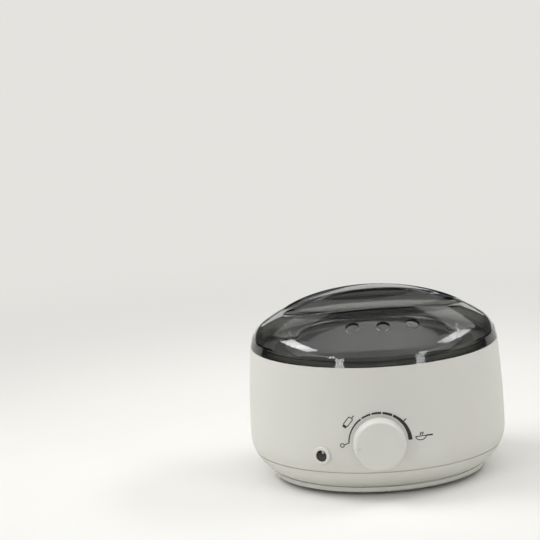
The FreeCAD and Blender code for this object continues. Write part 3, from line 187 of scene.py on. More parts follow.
class Finish:
    """A material that is being built: its tree, its Principled shader and where a point is on the piece."""

    def __init__(self, name, **shader):
        self.material = bpy.data.materials.new(name)
        self.material.use_nodes = True
        self.tree = self.material.node_tree
        self.tree.nodes.clear()
        self.shader = self.add("ShaderNodeBsdfPrincipled", {
            key.replace("_", " "): value for key, value in shader.items()})
        self.output = self.add("ShaderNodeOutputMaterial", {"Surface": self.shader.outputs["BSDF"]})
        self.place = self.add("ShaderNodeTexCoord").outputs["Object"]

    def add(self, kind, inputs=None, **settings):
        """Add a node to this material."""
        return add_node(self.tree, kind, inputs, **settings)

    def clouds(self, size_mm, stretch=(1, 1, 1), detail=3.0, distortion=0.0):
        """An uneven pattern with features of that size, drawn out where a stretch is under 1."""
        place = self.add("ShaderNodeMapping", {"Vector": self.place, "Scale": stretch})
        return self.add("ShaderNodeTexNoise", {
            "Vector": place.outputs["Vector"], "Scale": per_metre(size_mm), "Detail": detail,
            "Distortion": distortion}).outputs["Fac"]

    def skin(self, pattern, roughness, colours=None, relief=None, depth_mm=0.0):
        """A pattern varies the gloss and the colour, and another raises the surface by that depth."""
        gloss = self.add("ShaderNodeMapRange", {
            "Value": pattern, "From Min": NOISE_LOW, "From Max": NOISE_HIGH,
            "To Min": roughness[0], "To Max": roughness[1]})
        self.tree.links.new(gloss.outputs["Result"], self.shader.inputs["Roughness"])
        if colours:
            dark, light = colours
            # A Mix node's colours have the numbers 6 and 7, and the mixed one is output 2
            shade = self.add("ShaderNodeMix", {
                0: pattern, 6: rgba(dark), 7: rgba(light)}, data_type="RGBA")
            self.tree.links.new(shade.outputs[2], self.shader.inputs["Base Color"])
        if relief:
            raised = self.add("ShaderNodeBump", {"Height": relief, "Distance": depth_mm * MM})
            self.tree.links.new(raised.outputs["Normal"], self.shader.inputs["Normal"])
        return self.material


def white_abs():
    """Injection-moulded ABS: satin, slightly uneven gloss, the faint orange peel of a polished tool."""
    finish = Finish("white moulded ABS", IOR=1.54)
    white = bpy.context.scene.heater.colours.housing
    shade = [part * ABS_PATCHES for part in white]
    peel = finish.clouds(1.6, detail=1.0)
    return finish.skin(finish.clouds(40), (0.42, 0.50), (shade, white), peel, 0.006)


def smoked_acrylic():
    """Polished acrylic with a smoke tint: clear at the skin, darker the more of it light passes through."""
    finish = Finish("smoked acrylic", IOR=1.49, Transmission_Weight=1.0, Base_Color=(1, 1, 1, 1))
    colours = bpy.context.scene.heater.colours
    held_back = 1 - sum(colours.smoke) / 3
    smoke = finish.add("ShaderNodeVolumeAbsorption", {
        "Color": rgba(colours.smoke), "Density": 1 / (colours.smoke_depth * held_back)})
    finish.tree.links.new(smoke.outputs["Volume"], finish.output.inputs["Volume"])
    # Fine wiping haze, in patches
    return finish.skin(finish.clouds(18), (0.02, 0.05))


def spun_aluminium():
    """Aluminium spun over a former: bright and a little soft, with the rings that the tool left."""
    finish = Finish("spun aluminium", Metallic=1.0, Anisotropic=0.7, Anisotropic_Rotation=0.25)
    parts = finish.add("ShaderNodeSeparateXYZ", {"Vector": finish.place})
    flat = finish.add("ShaderNodeCombineXYZ", {"X": parts.outputs["X"], "Y": parts.outputs["Y"]})
    reach = finish.add("ShaderNodeVectorMath", {0: flat.outputs["Vector"]}, operation="LENGTH")
    profile = finish.add("ShaderNodeCombineXYZ", {"X": reach.outputs["Value"], "Y": parts.outputs["Z"]})
    # Rings drawn coarser than the real 0.4 mm, so that they show
    rings = finish.add("ShaderNodeTexNoise", {
        "Vector": profile.outputs["Vector"], "Scale": per_metre(0.9), "Detail": 2.0}).outputs["Fac"]
    return finish.skin(rings, (0.50, 0.64), ("#EBECED", "#F7F7F8"), rings, 0.012)


def drawn_aluminium():
    """Deep-drawn aluminium: duller, with upright streaks from the die."""
    finish = Finish("drawn aluminium", Metallic=1.0)
    # Streaks drawn coarser than the real 0.3 mm, so that they show
    streaks = finish.clouds(1.2, stretch=(1, 1, 0.03))
    return finish.skin(streaks, (0.34, 0.48), ("#9FA0A1", "#BDBEBF"), streaks, 0.008)


def zinc_steel():
    """Zinc-plated steel: cool grey with the cloudy blue and straw of its passivation."""
    finish = Finish("zinc-plated steel", Metallic=1.0)
    # Grain drawn coarser than the real 0.1 mm, so that it shows
    return finish.skin(finish.clouds(4), (0.28, 0.42), ("#A9AFB6", "#C4C0B0"), finish.clouds(0.5), 0.004)


def bright_wire():
    """Hard-drawn bright steel wire: mirror-like with faint draw marks along it."""
    finish = Finish("bright drawn wire", Metallic=1.0)
    # Marks drawn coarser than the real 0.1 mm, so that they show
    return finish.skin(finish.clouds(0.8, stretch=(0.05, 1, 1)), (0.10, 0.22), ("#BFC0C1", "#D4D5D6"))


def black_rubber():
    """Moulded rubber: near black, dull, with a fine grain."""
    finish = Finish("black rubber", IOR=1.52)
    # Grain drawn coarser than the real 0.2 mm, so that it shows
    return finish.skin(finish.clouds(5), (0.62, 0.80), ("#131313", "#1F1F1E"), finish.clouds(0.7), 0.02)


def red_silicone():
    """Cut silicone sheet: brick red, dull and a little dusty."""
    finish = Finish("red silicone", IOR=1.41)
    # Grain drawn coarser than the real 0.2 mm, so that it shows
    return finish.skin(finish.clouds(3), (0.45, 0.65), ("#7E241A", "#963226"), finish.clouds(0.6), 0.01)


def heater_steel():
    """Rolled stainless strip that has run hot: grey with straw-coloured heat tint."""
    finish = Finish("heat-tinted rolled steel", Metallic=1.0)
    # Rolling lines drawn coarser than the real 0.2 mm, so that they show
    rolling = finish.clouds(0.8, stretch=(1, 1, 0.04))
    return finish.skin(finish.clouds(14), (0.30, 0.45), ("#7E7B74", "#A59A80"), rolling, 0.006)


def glass_felt():
    """Needled glass-fibre felt: cream, fluffy, made of crossing fibres."""
    finish = Finish("needled glass felt", Sheen_Weight=0.3, Sheen_Roughness=0.6)
    # Fibres drawn in bundles, because a single one is far too thin to show
    fibres = finish.clouds(1.4, detail=6.0, distortion=2.5)
    return finish.skin(fibres, (0.85, 1.0), ("#C9C3AC", "#E6E2D2"), fibres, 0.25)


def brass():
    """Stamped brass: yellow, bright where the tool rubbed it."""
    finish = Finish("stamped brass", Metallic=1.0)
    return finish.skin(finish.clouds(2.5), (0.22, 0.38), ("#B08A3C", "#D6B25E"))


def steatite():
    """Unglazed steatite: ivory and dry, with a fine mealy grain."""
    finish = Finish("unglazed steatite", IOR=1.57)
    # Grain drawn coarser than the real 0.2 mm, so that it shows
    meal = finish.clouds(0.9, detail=5.0)
    return finish.skin(meal, (0.55, 0.75), ("#CBC6B6", "#E5E1D4"), finish.clouds(0.5), 0.01)


def smoked_lens():
    """Moulded polycarbonate, nearly black when unlit, with a pebbled skin that breaks up highlights."""
    colour = rgba(bpy.context.scene.heater.colours.lens)
    finish = Finish("smoked polycarbonate", IOR=1.58, Transmission_Weight=0.3, Base_Color=colour)
    pebbles = finish.add("ShaderNodeTexVoronoi", {"Vector": finish.place, "Scale": per_metre(1.3)})
    return finish.skin(finish.clouds(2), (0.06, 0.14), relief=pebbles.outputs["Distance"], depth_mm=0.15)


def lamp_glass():
    """Small neon lamp: clear glass with a warm cast from the gas and the electrodes."""
    finish = Finish("neon lamp glass", IOR=1.5, Transmission_Weight=0.8)
    return finish.skin(finish.clouds(3), (0.03, 0.08), ("#E0B48C", "#F0DCC4"))


def polyamide():
    """Moulded polyamide: light grey and slightly waxy, with a spark-eroded grain."""
    finish = Finish("moulded polyamide", IOR=1.53)
    # Grain drawn coarser than the real 0.2 mm, so that it shows
    return finish.skin(finish.clouds(12), (0.42, 0.55), ("#A9A79F", "#BBB9B1"), finish.clouds(0.9), 0.008)


def lead_silicone():
    """Silicone-covered wire: pale, soft and dull."""
    finish = Finish("silicone lead cover", IOR=1.41)
    return finish.skin(finish.clouds(6), (0.50, 0.65), ("#B9B6AC", "#CFCCC2"))


def printing_ink():
    """Pad-printed ink: flat black with a slight sheen and thin spots."""
    finish = Finish("pad-printed ink", IOR=1.5)
    ink = bpy.context.scene.heater.colours.ink
    thin_spots = [part * INK_PATCHES for part in ink]
    return finish.skin(finish.clouds(1.5), (0.40, 0.55), (ink, thin_spots))


FINISHES = {
    "white_abs": white_abs,
    "smoked_acrylic": smoked_acrylic,
    "aluminium_pot": spun_aluminium,
    "aluminium_well": drawn_aluminium,
    "zinc_steel": zinc_steel,
    "bail_wire": bright_wire,
    "black_rubber": black_rubber,
    "red_silicone": red_silicone,
    "heater_steel": heater_steel,
    "glass_felt": glass_felt,
    "brass": brass,
    "steatite": steatite,
    "smoked_lens": smoked_lens,
    "lamp_glass": lamp_glass,
    "polyamide": polyamide,
    "lead_silicone": lead_silicone,
}
finishes_made = {}


def finish_of(slot):
    """The material of one of the record's slots, made once."""
    if slot not in finishes_made:
        finishes_made[slot] = FINISHES[slot]()
    return finishes_made[slot]


def dress(*names):
    """Give these nodes the finish of their slots."""
    for name in names:
        frame["nodes"][name].material_slots[0].material = finish_of(SLOT_OF_NODE[name])


class HEATER_OT_shells(bpy.types.Operator):
    """Finish the housing and the base cover"""

    bl_idname = "heater.shells"
    bl_label = "Housing and base"

    def execute(self, context):
        dress("housing", "base_cover")
        return {"FINISHED"}


class HEATER_OT_lid(bpy.types.Operator):
    """Finish the smoked lid"""

    bl_idname = "heater.lid"
    bl_label = "Lid"

    def execute(self, context):
        dress("lid")
        return {"FINISHED"}


class HEATER_OT_pot(bpy.types.Operator):
    """Finish the wax pot and its bail"""

    bl_idname = "heater.pot"
    bl_label = "Pot and bail"

    def execute(self, context):
        dress("wax_pot", "pot_bail")
        return {"FINISHED"}


class HEATER_OT_well(bpy.types.Operator):
    """Finish the heating well with its band, felts, fuse and fasteners"""

    bl_idname = "heater.well"
    bl_label = "Heating well"

    def execute(self, context):
        dress("heating_well", "well_gasket", "well_nuts", "heater_band", "band_screw", "band_tabs")
        dress("insulation_sleeve", "insulation_pad", "pad_plate", "pad_nut", "thermal_fuse", "fuse_sleeve")
        return {"FINISHED"}


class HEATER_OT_control(bpy.types.Operator):
    """Finish the knob and the thermostat"""

    bl_idname = "heater.control"
    bl_label = "Knob and thermostat"

    def execute(self, context):
        dress("control_knob", "knob_clip", "thermostat_shaft", "thermostat_frame", "thermostat_block")
        dress("thermostat_nut", "thermostat_blades")
        return {"FINISHED"}


class HEATER_OT_pilot(bpy.types.Operator):
    """Finish the pilot light"""

    bl_idname = "heater.pilot"
    bl_label = "Pilot light"

    def execute(self, context):
        dress("pilot_bezel", "pilot_lens", "pilot_lamp", "lamp_socket", "pilot_clip")
        return {"FINISHED"}


class HEATER_OT_wiring(bpy.types.Operator):
    """Finish the cord inlet, the terminal block and the leads"""

    bl_idname = "heater.wiring"
    bl_label = "Wiring"

    def execute(self, context):
        dress("cord_gland", "gland_nut", "terminal_block", "terminal_screws")
        dress("supply_leads", "element_leads", "lamp_leads")
        return {"FINISHED"}


class HEATER_OT_feet(bpy.types.Operator):
    """Finish the feet and the base screws"""

    bl_idname = "heater.feet"
    bl_label = "Feet and screws"

    def execute(self, context):
        dress("rubber_feet", "base_screws")
        return {"FINISHED"}


# Print on the housing, drawn flat in a plane in front of it and then laid back on its wall
PRINT_PLANE = -0.2
RAY_LENGTH = 1.0
WELD_DISTANCE = 0.001 * MM
# Points along the scale's line and across it, close enough to follow the wall
SCALE_STEPS = 401
SCALE_ROWS = 4
# The scale's line swells slowly at first
SWELL = 1.7
# The signs' lines are cut into steps no longer than this
STROKE_STEP = 0.4 * MM
RING_POINTS = 24
CORNER_STEPS = 6


def new_tree(name, sockets):
    """A geometry node tree with these inputs, given as name and socket type, and one geometry output."""
    tree = bpy.data.node_groups.new(name, "GeometryNodeTree")
    for socket_name, kind in sockets.items():
        tree.interface.new_socket(socket_name, in_out="INPUT", socket_type=kind)
    tree.interface.new_socket("Geometry", in_out="OUTPUT", socket_type="NodeSocketGeometry")
    return tree, add_node(tree, "NodeGroupInput").outputs


LAYING_SOCKETS = {
    "Wall": "NodeSocketObject",
    "Lift": "NodeSocketFloat",
    "Thickness": "NodeSocketFloat",
    "Ink": "NodeSocketMaterial",
}


def laying_tree():
    """Lays a flat print on the wall behind it and gives the ink its thickness."""
    tree, given = new_tree("lay on the wall", {"Geometry": "NodeSocketGeometry", **LAYING_SOCKETS})
    wall = add_node(tree, "GeometryNodeObjectInfo", {"Object": given["Wall"]}, transform_space="RELATIVE")
    hit = add_node(tree, "GeometryNodeRaycast", {
        "Target Geometry": wall.outputs["Geometry"], "Ray Direction": (0, 1, 0),
        "Ray Length": RAY_LENGTH})
    raised = add_node(tree, "ShaderNodeVectorMath", {
        0: hit.outputs["Hit Normal"], 3: given["Lift"]}, operation="SCALE")
    target = add_node(tree, "ShaderNodeVectorMath", {
        0: hit.outputs["Hit Position"], 1: raised.outputs[0]}, operation="ADD")
    laid = add_node(tree, "GeometryNodeSetPosition", {
        "Geometry": given["Geometry"], "Position": target.outputs[0]}).outputs[0]
    top = add_node(tree, "GeometryNodeExtrudeMesh", {
        "Mesh": laid, "Offset Scale": given["Thickness"], "Individual": False}, mode="FACES")
    back = add_node(tree, "GeometryNodeFlipFaces", {"Mesh": laid})
    whole = add_node(tree, "GeometryNodeJoinGeometry", {"Geometry": top.outputs["Mesh"]})
    tree.links.new(back.outputs["Mesh"], whole.inputs["Geometry"])
    closed = add_node(tree, "GeometryNodeMergeByDistance", {
        "Geometry": whole.outputs[0], "Distance": WELD_DISTANCE})
    real = add_node(tree, "GeometryNodeRealizeInstances", {"Geometry": closed.outputs[0]})
    inked = add_node(tree, "GeometryNodeSetMaterial", {
        "Geometry": real.outputs[0], "Material": given["Ink"]})
    add_node(tree, "NodeGroupOutput", {"Geometry": inked.outputs[0]})
    return tree


SCALE_SOCKETS = {
    "Centre Height": "NodeSocketFloat",
    "Radius": "NodeSocketFloat",
    "Start": "NodeSocketFloat",
    "End": "NodeSocketFloat",
    "Thin": "NodeSocketFloat",
    "Thick": "NodeSocketFloat",
    "Plain Share": "NodeSocketFloat",
    "Dash Share": "NodeSocketFloat",
    "Gaps": "NodeSocketFloat",
    "Gap Share": "NodeSocketFloat",
}


def scale_tree(laying):
    """Draws a line round the knob that swells from its thin end to its thick end and breaks into dashes."""
    tree, given = new_tree("dial scale", {**SCALE_SOCKETS, **LAYING_SOCKETS})
    # The grid is 1 long and 1 wide about zero, and is bent to the scale's own size further down
    grid = add_node(tree, "GeometryNodeMeshGrid", {
        "Size X": 1.0, "Size Y": 1.0, "Vertices X": SCALE_STEPS, "Vertices Y": SCALE_ROWS})
    at = add_node(tree, "ShaderNodeSeparateXYZ", {
        "Vector": add_node(tree, "GeometryNodeInputPosition").outputs[0]})
    along = add_node(tree, "ShaderNodeMath", {0: at.outputs["X"], 1: 0.5}, operation="ADD").outputs[0]
    beyond = add_node(tree, "ShaderNodeMath", {
        0: along, 1: given["Plain Share"]}, operation="SUBTRACT").outputs[0]
    dash = add_node(tree, "ShaderNodeMath", {
        0: beyond, 1: given["Dash Share"]}, operation="DIVIDE").outputs[0]
    in_dash = add_node(tree, "ShaderNodeMath", {0: dash}, operation="FRACT").outputs[0]
    in_gap = add_node(tree, "ShaderNodeMath", {
        0: in_dash, 1: given["Gap Share"]}, operation="LESS_THAN").outputs[0]
    after_first = add_node(tree, "ShaderNodeMath", {
        0: dash, 1: 0.0}, operation="GREATER_THAN").outputs[0]
    before_last = add_node(tree, "ShaderNodeMath", {
        0: dash, 1: given["Gaps"]}, operation="LESS_THAN").outputs[0]
    dashed = add_node(tree, "ShaderNodeMath", {
        0: after_first, 1: before_last}, operation="MULTIPLY").outputs[0]
    bare = add_node(tree, "ShaderNodeMath", {0: in_gap, 1: dashed}, operation="MULTIPLY").outputs[0]
    broken = add_node(tree, "GeometryNodeDeleteGeometry", {
        "Geometry": grid.outputs["Mesh"], "Selection": bare}, domain="FACE")
    angle = add_node(tree, "ShaderNodeMapRange", {
        "Value": along, "To Min": given["Start"], "To Max": given["End"]}).outputs["Result"]
    swell = add_node(tree, "ShaderNodeMath", {0: along, 1: SWELL}, operation="POWER").outputs[0]
    width = add_node(tree, "ShaderNodeMapRange", {
        "Value": swell, "To Min": given["Thin"], "To Max": given["Thick"]}).outputs["Result"]
    reach = add_node(tree, "ShaderNodeMath", {
        0: at.outputs["Y"], 1: width, 2: given["Radius"]}, operation="MULTIPLY_ADD").outputs[0]
    cosine = add_node(tree, "ShaderNodeMath", {0: angle}, operation="COSINE").outputs[0]
    sine = add_node(tree, "ShaderNodeMath", {0: angle}, operation="SINE").outputs[0]
    across = add_node(tree, "ShaderNodeMath", {0: reach, 1: cosine}, operation="MULTIPLY").outputs[0]
    height = add_node(tree, "ShaderNodeMath", {
        0: reach, 1: sine, 2: given["Centre Height"]}, operation="MULTIPLY_ADD").outputs[0]
    point = add_node(tree, "ShaderNodeCombineXYZ", {"X": across, "Y": PRINT_PLANE, "Z": height})
    bent = add_node(tree, "GeometryNodeSetPosition", {
        "Geometry": broken.outputs[0], "Position": point.outputs[0]})
    laid = add_node(tree, "GeometryNodeGroup", {}, node_tree=laying)
    tree.links.new(bent.outputs[0], laid.inputs["Geometry"])
    for name in LAYING_SOCKETS:
        tree.links.new(given[name], laid.inputs[name])
    add_node(tree, "NodeGroupOutput", {"Geometry": laid.outputs[0]})
    return tree


def grown(name, tree, values, mesh=None):
    """A plain mesh object that a node tree makes from these inputs."""
    piece = bpy.data.objects.new(name, mesh or bpy.data.meshes.new(name))
    bpy.context.scene.collection.objects.link(piece)
    modifier = piece.modifiers.new(tree.name, "NODES")
    modifier.node_group = tree
    for socket in tree.interface.items_tree:
        if socket.name in values:
            modifier[socket.identifier] = values[socket.name]
    whole = bpy.data.meshes.new_from_object(piece.evaluated_get(bpy.context.evaluated_depsgraph_get()))
    piece.modifiers.clear()
    piece.data = whole
    whole.name = name
    return piece


def neighbours(items, closed):
    """Each item with the next one, and the last with the first where the row is closed."""
    return list(zip(items, items[1:] + items[:1] if closed else items[1:]))


class Signs:
    """Flat line drawings in front of the housing, in metres across and up from the knob's axis."""

    def __init__(self, centre_height, stroke):
        self.shape = bmesh.new()
        self.centre_height = centre_height
        self.stroke = stroke

    def line(self, points, width=None, closed=False):
        """A ribbon of even width along points, cut into short steps so that it can follow the wall."""
        half = (width or self.stroke) / 2
        path = []
        for start, end in neighbours(points, closed):
            steps = max(1, math.ceil((end - start).length / STROKE_STEP))
            path += [start.lerp(end, step / steps) for step in range(steps)]
        if not closed:
            path.append(points[-1])
        count = len(path)
        rails = []
        for index, point in enumerate(path):
            before = path[index - 1] if closed or index else point
            after = path[(index + 1) % count] if closed or index + 1 < count else point
            along = (after - before).normalized()
            side = Vector((-along.y, along.x)) * half
            rails.append([self.vertex(point + side), self.vertex(point - side)])
        for first, second in neighbours(rails, closed):
            self.shape.faces.new((first[0], first[1], second[1], second[0]))

    def vertex(self, point):
        """A new corner of the drawing."""
        return self.shape.verts.new((point.x, PRINT_PLANE, self.centre_height + point.y))

    def mesh(self, name):
        """The drawing as a mesh whose faces look away from the housing."""
        for face in self.shape.faces:
            face.normal_update()
            if face.normal.y > 0:
                face.normal_flip()
        mesh = bpy.data.meshes.new(name)
        self.shape.to_mesh(mesh)
        self.shape.free()
        return mesh


def polar(radius, angle):
    """The point at that distance from the knob's axis and at that angle from three o'clock."""
    return Vector((radius * math.cos(angle), radius * math.sin(angle)))


def arc(centre, radii, start, end, count=24):
    """Points of an elliptic arc between two angles in degrees."""
    angles = [math.radians(start + (end - start) * step / count) for step in range(count + 1)]
    return [centre + Vector((radii[0] * math.cos(angle), radii[1] * math.sin(angle))) for angle in angles]


def turned_points(points, angle, place):
    """Points turned about zero and then moved to a place."""
    turn = Matrix.Rotation(angle, 2)
    return [place + turn @ point for point in points]


def rounded_box(length, width, radius):
    """Outline of a rectangle with rounded corners about zero."""
    half = Vector((length / 2 - radius, width / 2 - radius))
    points = []
    for quarter, (x, y) in enumerate(((1, 1), (-1, 1), (-1, -1), (1, -1))):
        corner = Vector((half.x * x, half.y * y))
        points += arc(corner, (radius, radius), 90 * quarter, 90 * quarter + 90, CORNER_STEPS)
    return points


# Sizes of the signs, with how far each stands out from the middle of the scale's line
OFF_REACH = 4.6 * MM
OFF_RADIUS = 1.25 * MM
TICK_REACH = 3.4 * MM
TICK_WIDTH = 0.8 * MM
CARTRIDGE_REACH = 4.9 * MM
CARTRIDGE_TILT = math.radians(52)
CARTRIDGE_LENGTH = 6.8 * MM
CARTRIDGE_WIDTH = 3.2 * MM
CARTRIDGE_CORNER = 0.9 * MM
ROLLER_PLACE = -4.2 * MM
ROLLER_HALF = 1.4 * MM
ROLLER_WIDTH = 1.3 * MM
TAIL_START = 3.4 * MM
TAIL_END = 5.8 * MM
TAIL_SIDE = -0.5 * MM
PAN_REACH = 7.4 * MM
PAN_HALF = 3.6 * MM
PAN_DEPTH = 2.7 * MM
HANDLE_END = Vector((8.2 * MM, -0.1 * MM))
HANDLE_WIDTH = 1.0 * MM
# Wisps of steam: they rise and lean by a little at each point and sway in a wave
STEAM_FEET = (-0.5 * MM, 0.9 * MM)
STEAM_START = 0.9 * MM
STEAM_RISE = 0.34 * MM
STEAM_LEAN = 0.14 * MM
STEAM_SWAY = 0.2 * MM
STEAM_WAVE = 1.6
STEAM_POINTS = 6
STEAM_WIDTH = 0.75 * MM


def draw_off_sign(signs, dial):
    """A small ring, joined to the thin end of the scale."""
    centre = polar(dial.radius + OFF_REACH, dial.off)
    # The ring's last point stands one step before its first
    last = 360 - 360 / RING_POINTS
    signs.line(arc(centre, (OFF_RADIUS, OFF_RADIUS), 0, last, RING_POINTS - 1), closed=True)
    start = polar(dial.radius, dial.start)
    toward = (start - centre).normalized()
    signs.line([centre + toward * OFF_RADIUS, start])


def draw_tick(signs, dial):
    """A short line out from the scale."""
    signs.line([polar(dial.radius, dial.tick), polar(dial.radius + TICK_REACH, dial.tick)], TICK_WIDTH)


def draw_cartridge(signs, dial):
    """A wax cartridge seen from the side: body, roller and tail."""
    place = polar(dial.radius + CARTRIDGE_REACH, dial.cartridge)
    body = rounded_box(CARTRIDGE_LENGTH, CARTRIDGE_WIDTH, CARTRIDGE_CORNER)
    signs.line(turned_points(body, CARTRIDGE_TILT, place), closed=True)
    roller = [Vector((ROLLER_PLACE, -ROLLER_HALF)), Vector((ROLLER_PLACE, ROLLER_HALF))]
    signs.line(turned_points(roller, CARTRIDGE_TILT, place), ROLLER_WIDTH)
    tail = [Vector((TAIL_START, TAIL_SIDE)), Vector((TAIL_END, TAIL_SIDE))]
    signs.line(turned_points(tail, CARTRIDGE_TILT, place))


def draw_pan(signs, dial):
    """A pan with a long handle and two wisps of steam."""
    place = polar(dial.radius + PAN_REACH, dial.pan)
    signs.line(arc(place, (PAN_HALF, PAN_DEPTH), 180, 360), closed=True)
    signs.line([place + Vector((PAN_HALF, 0)), place + HANDLE_END], HANDLE_WIDTH)
    for foot in STEAM_FEET:
        wisp = []
        for step in range(STEAM_POINTS):
            across = foot + STEAM_LEAN * step + STEAM_SWAY * math.sin(step * STEAM_WAVE)
            wisp.append(place + Vector((across, STEAM_START + STEAM_RISE * step)))
        signs.line(wisp, STEAM_WIDTH)


class HEATER_OT_dial(bpy.types.Operator):
    """Print the scale and the signs round the knob"""

    bl_idname = "heater.dial"
    bl_label = "Dial print"

    def execute(self, context):
        dial = context.scene.heater.dial
        low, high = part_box("control_knob")
        centre_height = (low.z + high.z) / 2
        laying = {
            "Wall": frame["nodes"]["housing"],
            "Lift": dial.lift,
            "Thickness": dial.ink_thickness,
            "Ink": printing_ink(),
        }
        laying_nodes = laying_tree()
        scale = grown("dial_scale", scale_tree(laying_nodes), {
            "Centre Height": centre_height, "Radius": dial.radius, "Start": dial.start, "End": dial.end,
            "Thin": dial.thin, "Thick": dial.thick, "Plain Share": dial.plain_share,
            "Dash Share": dial.dash_share, "Gaps": float(dial.gaps), "Gap Share": dial.gap_share, **laying})
        signs = Signs(centre_height, dial.stroke)
        draw_off_sign(signs, dial)
        draw_tick(signs, dial)
        draw_cartridge(signs, dial)
        draw_pan(signs, dial)
        drawing = grown("dial_signs", laying_nodes, laying, signs.mesh("dial_signs"))
        for piece in (scale, drawing):
            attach(piece, "heater")
        return {"FINISHED"}


# Studio
class Softbox(NamedTuple):
    """A lamp, with its angles in degrees, azimuth from the knob to the right, and its sizes in metres."""

    azimuth: float
    elevation: float
    distance: float
    width: float
    height: float
    watts: float
    roll: float = 0
    spread: float = 180


LAMPS = {
    "top panel": Softbox(0, 87, distance=1.7, width=5.0, height=1.9, watts=18, spread=120),
    "back panel": Softbox(180, 14, distance=1.4, width=0.9, height=0.45, watts=1.3),
    "rear left softbox": Softbox(-155, 38, distance=1.3, width=0.55, height=0.42, watts=0.4),
    "rear right softbox": Softbox(148, 36, distance=1.3, width=0.42, height=0.40, watts=0.5),
    "left softbox": Softbox(
        -100, 44.5, distance=1.2, width=0.92, height=0.27, watts=1.40, roll=2, spread=70),
    "right softbox": Softbox(
        111.2, 43.2, distance=1.2, width=0.86, height=0.26, watts=0.80, roll=-11.6, spread=70),
    "front left softbox": Softbox(-37, 21, distance=1.5, width=0.17, height=0.62, watts=3.0, roll=31),
    "front right softbox": Softbox(45, 21.5, distance=1.5, width=0.20, height=0.62, watts=2.7, roll=-22),
}
# The lamps look at this point inside the heater
LAMP_TARGET = Vector((0, 0, 0.08))
# The soft light fades from front to back over directions that point less than this far along Y
FILL_TURN = 0.6
FLOOR_HALF = 8.0
# The floor is lit near the heater, and turns to its plain colour between these distances from it
FLOOR_LIT = 0.25
FLOOR_PLAIN = 0.85
# The camera's sensor in millimetres, and how far it sees in metres
SENSOR_WIDTH = 36
VIEW_END = 100


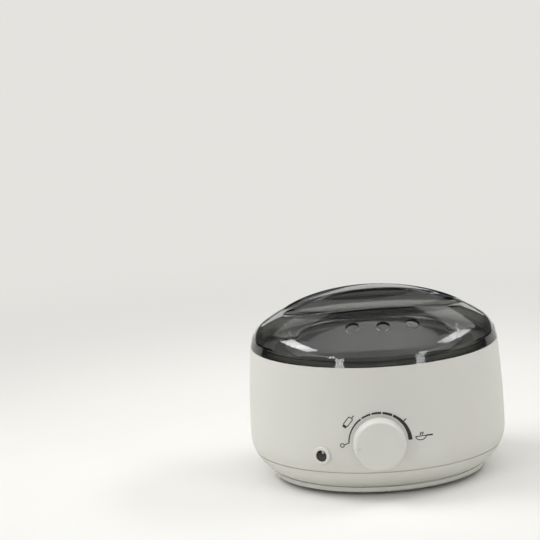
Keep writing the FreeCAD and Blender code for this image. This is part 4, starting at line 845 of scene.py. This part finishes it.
class HEATER_OT_stage(bpy.types.Operator):
    """Set up the floor, the lights and the camera"""

    bl_idname = "heater.stage"
    bl_label = "Stage"

    def execute(self, context):
        studio = context.scene.heater.studio
        self.add_floor(context, studio)
        self.light_world(context, studio)
        for name, softbox in LAMPS.items():
            self.add_softbox(context, name, softbox)
        self.add_camera(context, studio)
        context.scene.view_settings.view_transform = "Standard"
        return {"FINISHED"}

    def add_floor(self, context, studio):
        """A wide flat floor under the feet."""
        corners = [(FLOOR_HALF * x, FLOOR_HALF * y, 0) for x, y in ((-1, -1), (1, -1), (1, 1), (-1, 1))]
        mesh = bpy.data.meshes.new("floor")
        mesh.from_pydata(corners, [], [(0, 1, 2, 3)])
        floor = bpy.data.objects.new("floor", mesh)
        context.scene.collection.objects.link(floor)
        mesh.materials.append(self.floor_finish(studio))

    def floor_finish(self, studio):
        """Matt floor that is lit near the heater and shows its plain colour far from it."""
        finish = Finish("matt studio floor", Specular_IOR_Level=0.2)
        worn = [part * FLOOR_PATCHES for part in studio.floor]
        finish.skin(finish.clouds(60), (0.75, 0.85), (studio.floor, worn))
        reach = finish.add("ShaderNodeVectorMath", {0: finish.place}, operation="LENGTH")
        far = finish.add("ShaderNodeMapRange", {
            "Value": reach.outputs["Value"], "From Min": FLOOR_LIT, "From Max": FLOOR_PLAIN},
            interpolation_type="SMOOTHSTEP")
        path = finish.add("ShaderNodeLightPath").outputs
        mirrored = finish.add("ShaderNodeMath", {
            0: path["Is Glossy Ray"], 1: path["Is Transmission Ray"]}, operation="MAXIMUM")
        seen = finish.add("ShaderNodeMath", {
            0: path["Is Camera Ray"], 1: mirrored.outputs[0]}, operation="MAXIMUM")
        share = finish.add("ShaderNodeMath", {
            0: far.outputs["Result"], 1: seen.outputs[0]}, operation="MULTIPLY")
        plain = finish.add("ShaderNodeEmission", {"Color": rgba(studio.floor), "Strength": 1.0})
        mixed = finish.add("ShaderNodeMixShader", {
            0: share.outputs[0], 1: finish.shader.outputs["BSDF"], 2: plain.outputs["Emission"]})
        finish.tree.links.new(mixed.outputs[0], finish.output.inputs["Surface"])
        return finish.material

    def light_world(self, context, studio):
        """Soft light from all sides, less of it from behind."""
        world = bpy.data.worlds.new("studio")
        context.scene.world = world
        world.use_nodes = True
        tree = world.node_tree
        tree.nodes.clear()
        toward = add_node(tree, "ShaderNodeSeparateXYZ", {
            "Vector": add_node(tree, "ShaderNodeTexCoord").outputs["Generated"]})
        strength = add_node(tree, "ShaderNodeMapRange", {
            "Value": toward.outputs["Y"], "From Min": -FILL_TURN, "From Max": FILL_TURN,
            "To Min": studio.fill, "To Max": studio.fill_behind}, interpolation_type="SMOOTHSTEP")
        light = add_node(tree, "ShaderNodeBackground", {
            "Color": (1, 1, 1, 1), "Strength": strength.outputs["Result"]})
        add_node(tree, "ShaderNodeOutputWorld", {"Surface": light.outputs[0]})

    def add_softbox(self, context, name, softbox):
        """A lamp that looks at the heater and isn't seen itself."""
        lamp = bpy.data.lights.new(name, "AREA")
        lamp.shape = "RECTANGLE"
        lamp.size = softbox.width
        lamp.size_y = softbox.height
        lamp.spread = math.radians(softbox.spread)
        lamp.energy = softbox.watts
        box = bpy.data.objects.new(name, lamp)
        context.scene.collection.objects.link(box)
        side = math.radians(softbox.azimuth)
        rise = math.radians(softbox.elevation)
        away = Vector((math.sin(side) * math.cos(rise), -math.cos(side) * math.cos(rise), math.sin(rise)))
        box.location = LAMP_TARGET + away * softbox.distance
        turn = (-away).to_track_quat("-Z", "Y") @ Quaternion((0, 0, 1), math.radians(softbox.roll))
        box.rotation_euler = turn.to_euler()
        box.visible_camera = False

    def add_camera(self, context, studio):
        """A camera on a stand, turned by its yaw, its pitch and then its roll."""
        camera = bpy.data.objects.new("camera", bpy.data.cameras.new("camera"))
        context.scene.collection.objects.link(camera)
        camera.data.lens = studio.camera_lens
        camera.data.sensor_width = SENSOR_WIDTH
        camera.data.clip_end = VIEW_END
        heading = studio.camera_yaw - studio.camera_side
        level = math.cos(studio.camera_pitch)
        ahead = Vector((
            math.sin(heading) * level, math.cos(heading) * level, math.sin(studio.camera_pitch)))
        right = Vector((math.cos(heading), -math.sin(heading), 0))
        above = right.cross(ahead)
        turn = studio.camera_roll
        turned_right = math.cos(turn) * right + math.sin(turn) * above
        turned_above = math.cos(turn) * above - math.sin(turn) * right
        place = Vector((studio.camera_distance * math.sin(studio.camera_side),
                        -studio.camera_distance * math.cos(studio.camera_side), studio.camera_height))
        axes = Matrix((turned_right, turned_above, -ahead)).transposed()
        camera.matrix_world = Matrix.Translation(place) @ axes.to_4x4()
        context.scene.camera = camera


OPERATORS = (
    HEATER_OT_shells,
    HEATER_OT_lid,
    HEATER_OT_pot,
    HEATER_OT_well,
    HEATER_OT_control,
    HEATER_OT_pilot,
    HEATER_OT_wiring,
    HEATER_OT_feet,
    HEATER_OT_dial,
    HEATER_OT_stage,
)


class HEATER_PT_panel(bpy.types.Panel):
    """The heater's steps in the sidebar"""

    bl_idname = "HEATER_PT_panel"
    bl_label = "Wax heater"
    bl_space_type = "VIEW_3D"
    bl_region_type = "UI"
    bl_category = "Wax heater"

    def draw(self, context):
        for operator in OPERATORS:
            self.layout.operator(operator.bl_idname)


CLASSES = (HeaterColours, DialSizes, StudioSettings, HeaterSettings, *OPERATORS, HEATER_PT_panel)


def register():
    """Make the classes and the settings known to Blender."""
    for item in CLASSES:
        bpy.utils.register_class(item)
    bpy.types.Scene.heater = bpy.props.PointerProperty(type=HeaterSettings)


def unregister():
    """Take the settings and the classes out again."""
    del bpy.types.Scene.heater
    for item in reversed(CLASSES):
        bpy.utils.unregister_class(item)


def main():
    """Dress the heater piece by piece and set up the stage."""
    register()
    bpy.ops.heater.shells()
    bpy.ops.heater.lid()
    bpy.ops.heater.pot()
    bpy.ops.heater.well()
    bpy.ops.heater.control()
    bpy.ops.heater.pilot()
    bpy.ops.heater.wiring()
    bpy.ops.heater.feet()
    bpy.ops.heater.dial()
    bpy.ops.heater.stage()


if __name__ == "__main__":
    main()
